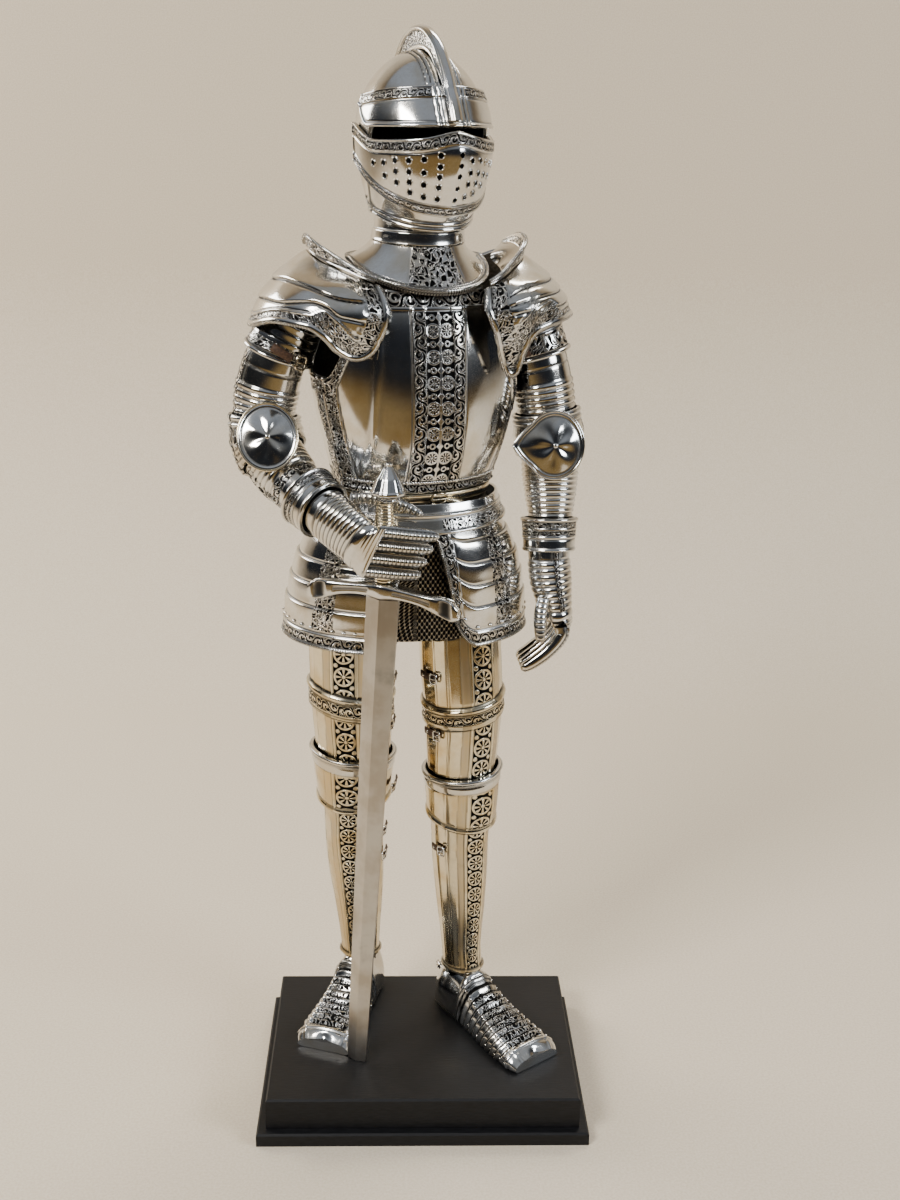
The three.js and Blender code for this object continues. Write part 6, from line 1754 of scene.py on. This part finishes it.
def buildHilt():
    g0, g1, r, half = sword["gripFoot"], sword["gripTop"], sword["gripRadius"], sword["halfGuard"]
    grip = Sheets()
    z = np.linspace(g0, g1, 130)
    swell = readColumn([g0, (g0 + g1) / 2, g1], [r, r + 0.5, r - 0.5], z)
    lathe(grip, np.stack([swell + 0.22 * np.abs(np.sin((z - g0) * math.pi / 1.3)), z], -1), -18, -22.5,
          "gilt", 28)
    grip.finish("sword_grip_wire", ["sword_grip"])
    p0 = g1 + 0.3
    pommel = Sheets()
    lathe(pommel, smoothProfile([[3.2, p0], [3.7, p0 + 0.7], [3.4, p0 + 1.5], [6.4, p0 + 2.8], [7, p0 + 3.4],
                                 [7, p0 + 4.4], [6.5, p0 + 4.9],
                                 [6.3, p0 + 5.4], [4.6, p0 + 9.5], [2.4, p0 + 13], [2.0, p0 + 13.6],
                                 [1.4, p0 + 14.1], [1.8, p0 + 14.8], [1.7, p0 + 15.3],
                                 [0.8, p0 + 15.8]]), -16.6, -22.6, "plain", 60, 12, 0.025)
    pommel.finish("sword_pommel_cone", ["sword_pommel"])
    guard = Sheets()
    turn = math.radians(19)
    arm, front = np.array([math.cos(turn), -math.sin(turn), 0]), np.array([-math.sin(turn), -math.cos(turn),
        0])
    rows = np.array([[-1, 2.2, 2], [-0.93, 3.9, 2.5], [-0.75, 3.7, 2.8], [-0.5, 2.5, 3], [-0.2, 2.5, 3.6],
                     [0, 3.3, 4.4], [0.2, 2.5, 3.6],
                     [0.5, 2.5, 3], [0.75, 3.7, 2.8], [0.93, 3.9, 2.5], [1, 2.2, 2]])
    t = np.linspace(-1, 1, 150)
    tall, thick = readColumn(rows[:, 0], rows[:, 1], t), readColumn(rows[:, 0], rows[:, 2], t)
    section = [(-0.85, -0.9), (-1, -0.6), (-1, 0.6), (-0.85, 0.9), (-0.5, 1), (0.5, 1), (0.85, 0.9),
               (0.96, 0.7), (0.99, 0.4), (1, 0), (0.99, -0.4),
               (0.96, -0.7), (0.85, -0.9), (0.5, -1), (-0.5, -1)]
    middle = np.array([sword["cross"][0], sword["cross"][1], (sword["cross"][2] + g0) / 2])
    ring = np.zeros((150, len(section), 3))
    dark = np.zeros((150, len(section)))
    for j, (d, h) in enumerate(section):
        # a leaf-shaped recess at each end and a fine line along the arms
        leaf = np.exp(-((np.abs(t) - 0.84) / 0.075) ** 4) * (abs(h) < 0.75) * (d > 0.9)
        line = 0.25 * (np.abs(np.abs(t) - 0.4) < 0.24) * (abs(h) < 0.3) * (d > 0.9)
        ring[:, j] = (middle + arm * (t * half)[:, None] + front * (d * thick - 1.1 * leaf - line)[:, None]
                      + np.array([0, 0, 1.0]) * (h * tall - sword["droop"] * t ** 2 - 0.05 * half * t)[:,
                          None])
        dark[:, j] = np.clip(leaf * 0.95 + line * 3, 0, 1)
    guard.grid(ring, dark, True, True, filled(149, len(section), "plain"))
    guard.caps(ring, "plain")
    guard.finish("sword_guard_arms", ["sword_guard"])


buildHilt()
print("hilt made")


def makeStage():
    floor, tree, shader = startMaterial("paleStage")
    cloth = colourMix(tree, noise(tree, 900, 3).ramp(0.3, 0.7), (0.66, 0.55, 0.40), (0.74, 0.64, 0.50))
    tree.links.new(cloth.socket, shader.inputs["Base Color"])
    shader.inputs["Roughness"].default_value = 0.9
    n = 40
    rows = [(-0.46, 0)] + [(0.42 + 0.3 * math.sin(t * math.pi / 2 / n),
                            0.3 - 0.3 * math.cos(t * math.pi / 2 / n)) for t in range(n + 1)] + [(0.72, 2.2)]
    verts = [(x, y, z) for y, z in rows for x in (-3.0, 3.0)]
    faces = [(2 * i, 2 * i + 1, 2 * i + 3, 2 * i + 2) for i in range(len(rows) - 1)]
    mesh = bpy.data.meshes.new("stageSheet")
    mesh.from_pydata(verts, [], faces)
    mesh.materials.append(floor)
    for polygon in mesh.polygons:
        polygon.use_smooth = True
    stage = bpy.data.objects.new("stageSheet", mesh)
    bpy.context.collection.objects.link(stage)

    world = bpy.data.worlds.new("room")
    bpy.context.scene.world = world
    world.use_nodes = True
    # a dim room, lighter overhead, that the mirror plates show between the lamps
    tree = world.node_tree
    sky = tree.nodes.new("ShaderNodeTexCoord")
    split = tree.nodes.new("ShaderNodeSeparateXYZ")
    tree.links.new(sky.outputs["Generated"], split.inputs[0])
    height = Term(tree, split.outputs[2])
    low = colourMix(tree, height.ramp(-0.32, -0.06), (0.50, 0.33, 0.13), (0.03, 0.034, 0.042))
    tree.links.new(colourMix(tree, height.ramp(0.15, 0.9), low, (0.62, 0.67, 0.74)).socket,
                   tree.nodes["Background"].inputs[0])
    tree.nodes["Background"].inputs[1].default_value = 0.55
    lamps = [("keyLamp", (-0.85, -0.95, 1.2), 0.55, 24, (1, 0.98, 0.95)),
             ("fillLamp", (1.2, -0.6, 0.75), 0.6, 14, (0.9, 0.95, 1)),
             ("rimLamp", (0.35, 0.7, 1.3), 0.5, 10, (1, 1, 1)),
             ("backLamp", (-0.9, 0.5, 0.7), 0.5, 7, (1, 0.97, 0.92))]
    for name, spot, size, power, tint in lamps:
        light = bpy.data.lights.new(name, "AREA")
        light.shape, light.size, light.energy, light.color = "RECTANGLE", size, power, tint
        light.size_y = size * 0.7
        lamp = bpy.data.objects.new(name, light)
        lamp.location = spot
        lamp.rotation_euler = (Vector((0, 0, 0.24)) - Vector(spot)).to_track_quat("-Z", "Y").to_euler()
        bpy.context.collection.objects.link(lamp)


def makeCamera():
    # the photograph's own viewing angle
    pitch, yaw, roll = math.radians(18.469), math.radians(2.076), math.radians(-1.114)
    forward = Vector((math.sin(yaw) * math.cos(pitch), math.cos(yaw) * math.cos(pitch), -math.sin(pitch)))
    right = Vector((math.cos(yaw), -math.sin(yaw), 0))
    down = forward.cross(right)
    c, n = math.cos(roll), math.sin(roll)
    right, down = c * right + n * down, -n * right + c * down
    data = bpy.data.cameras.new("camera")
    data.lens, data.sensor_fit, data.sensor_height = 43.5, "VERTICAL", 36
    camera = bpy.data.objects.new("camera", data)
    bpy.context.collection.objects.link(camera)
    turn = Matrix((right, -down, -forward)).transposed()
    camera.matrix_world = Matrix.Translation((-0.0117, -0.5679, 0.42)) @ turn.to_4x4()
    bpy.context.scene.camera = camera


makeStage()
makeCamera()
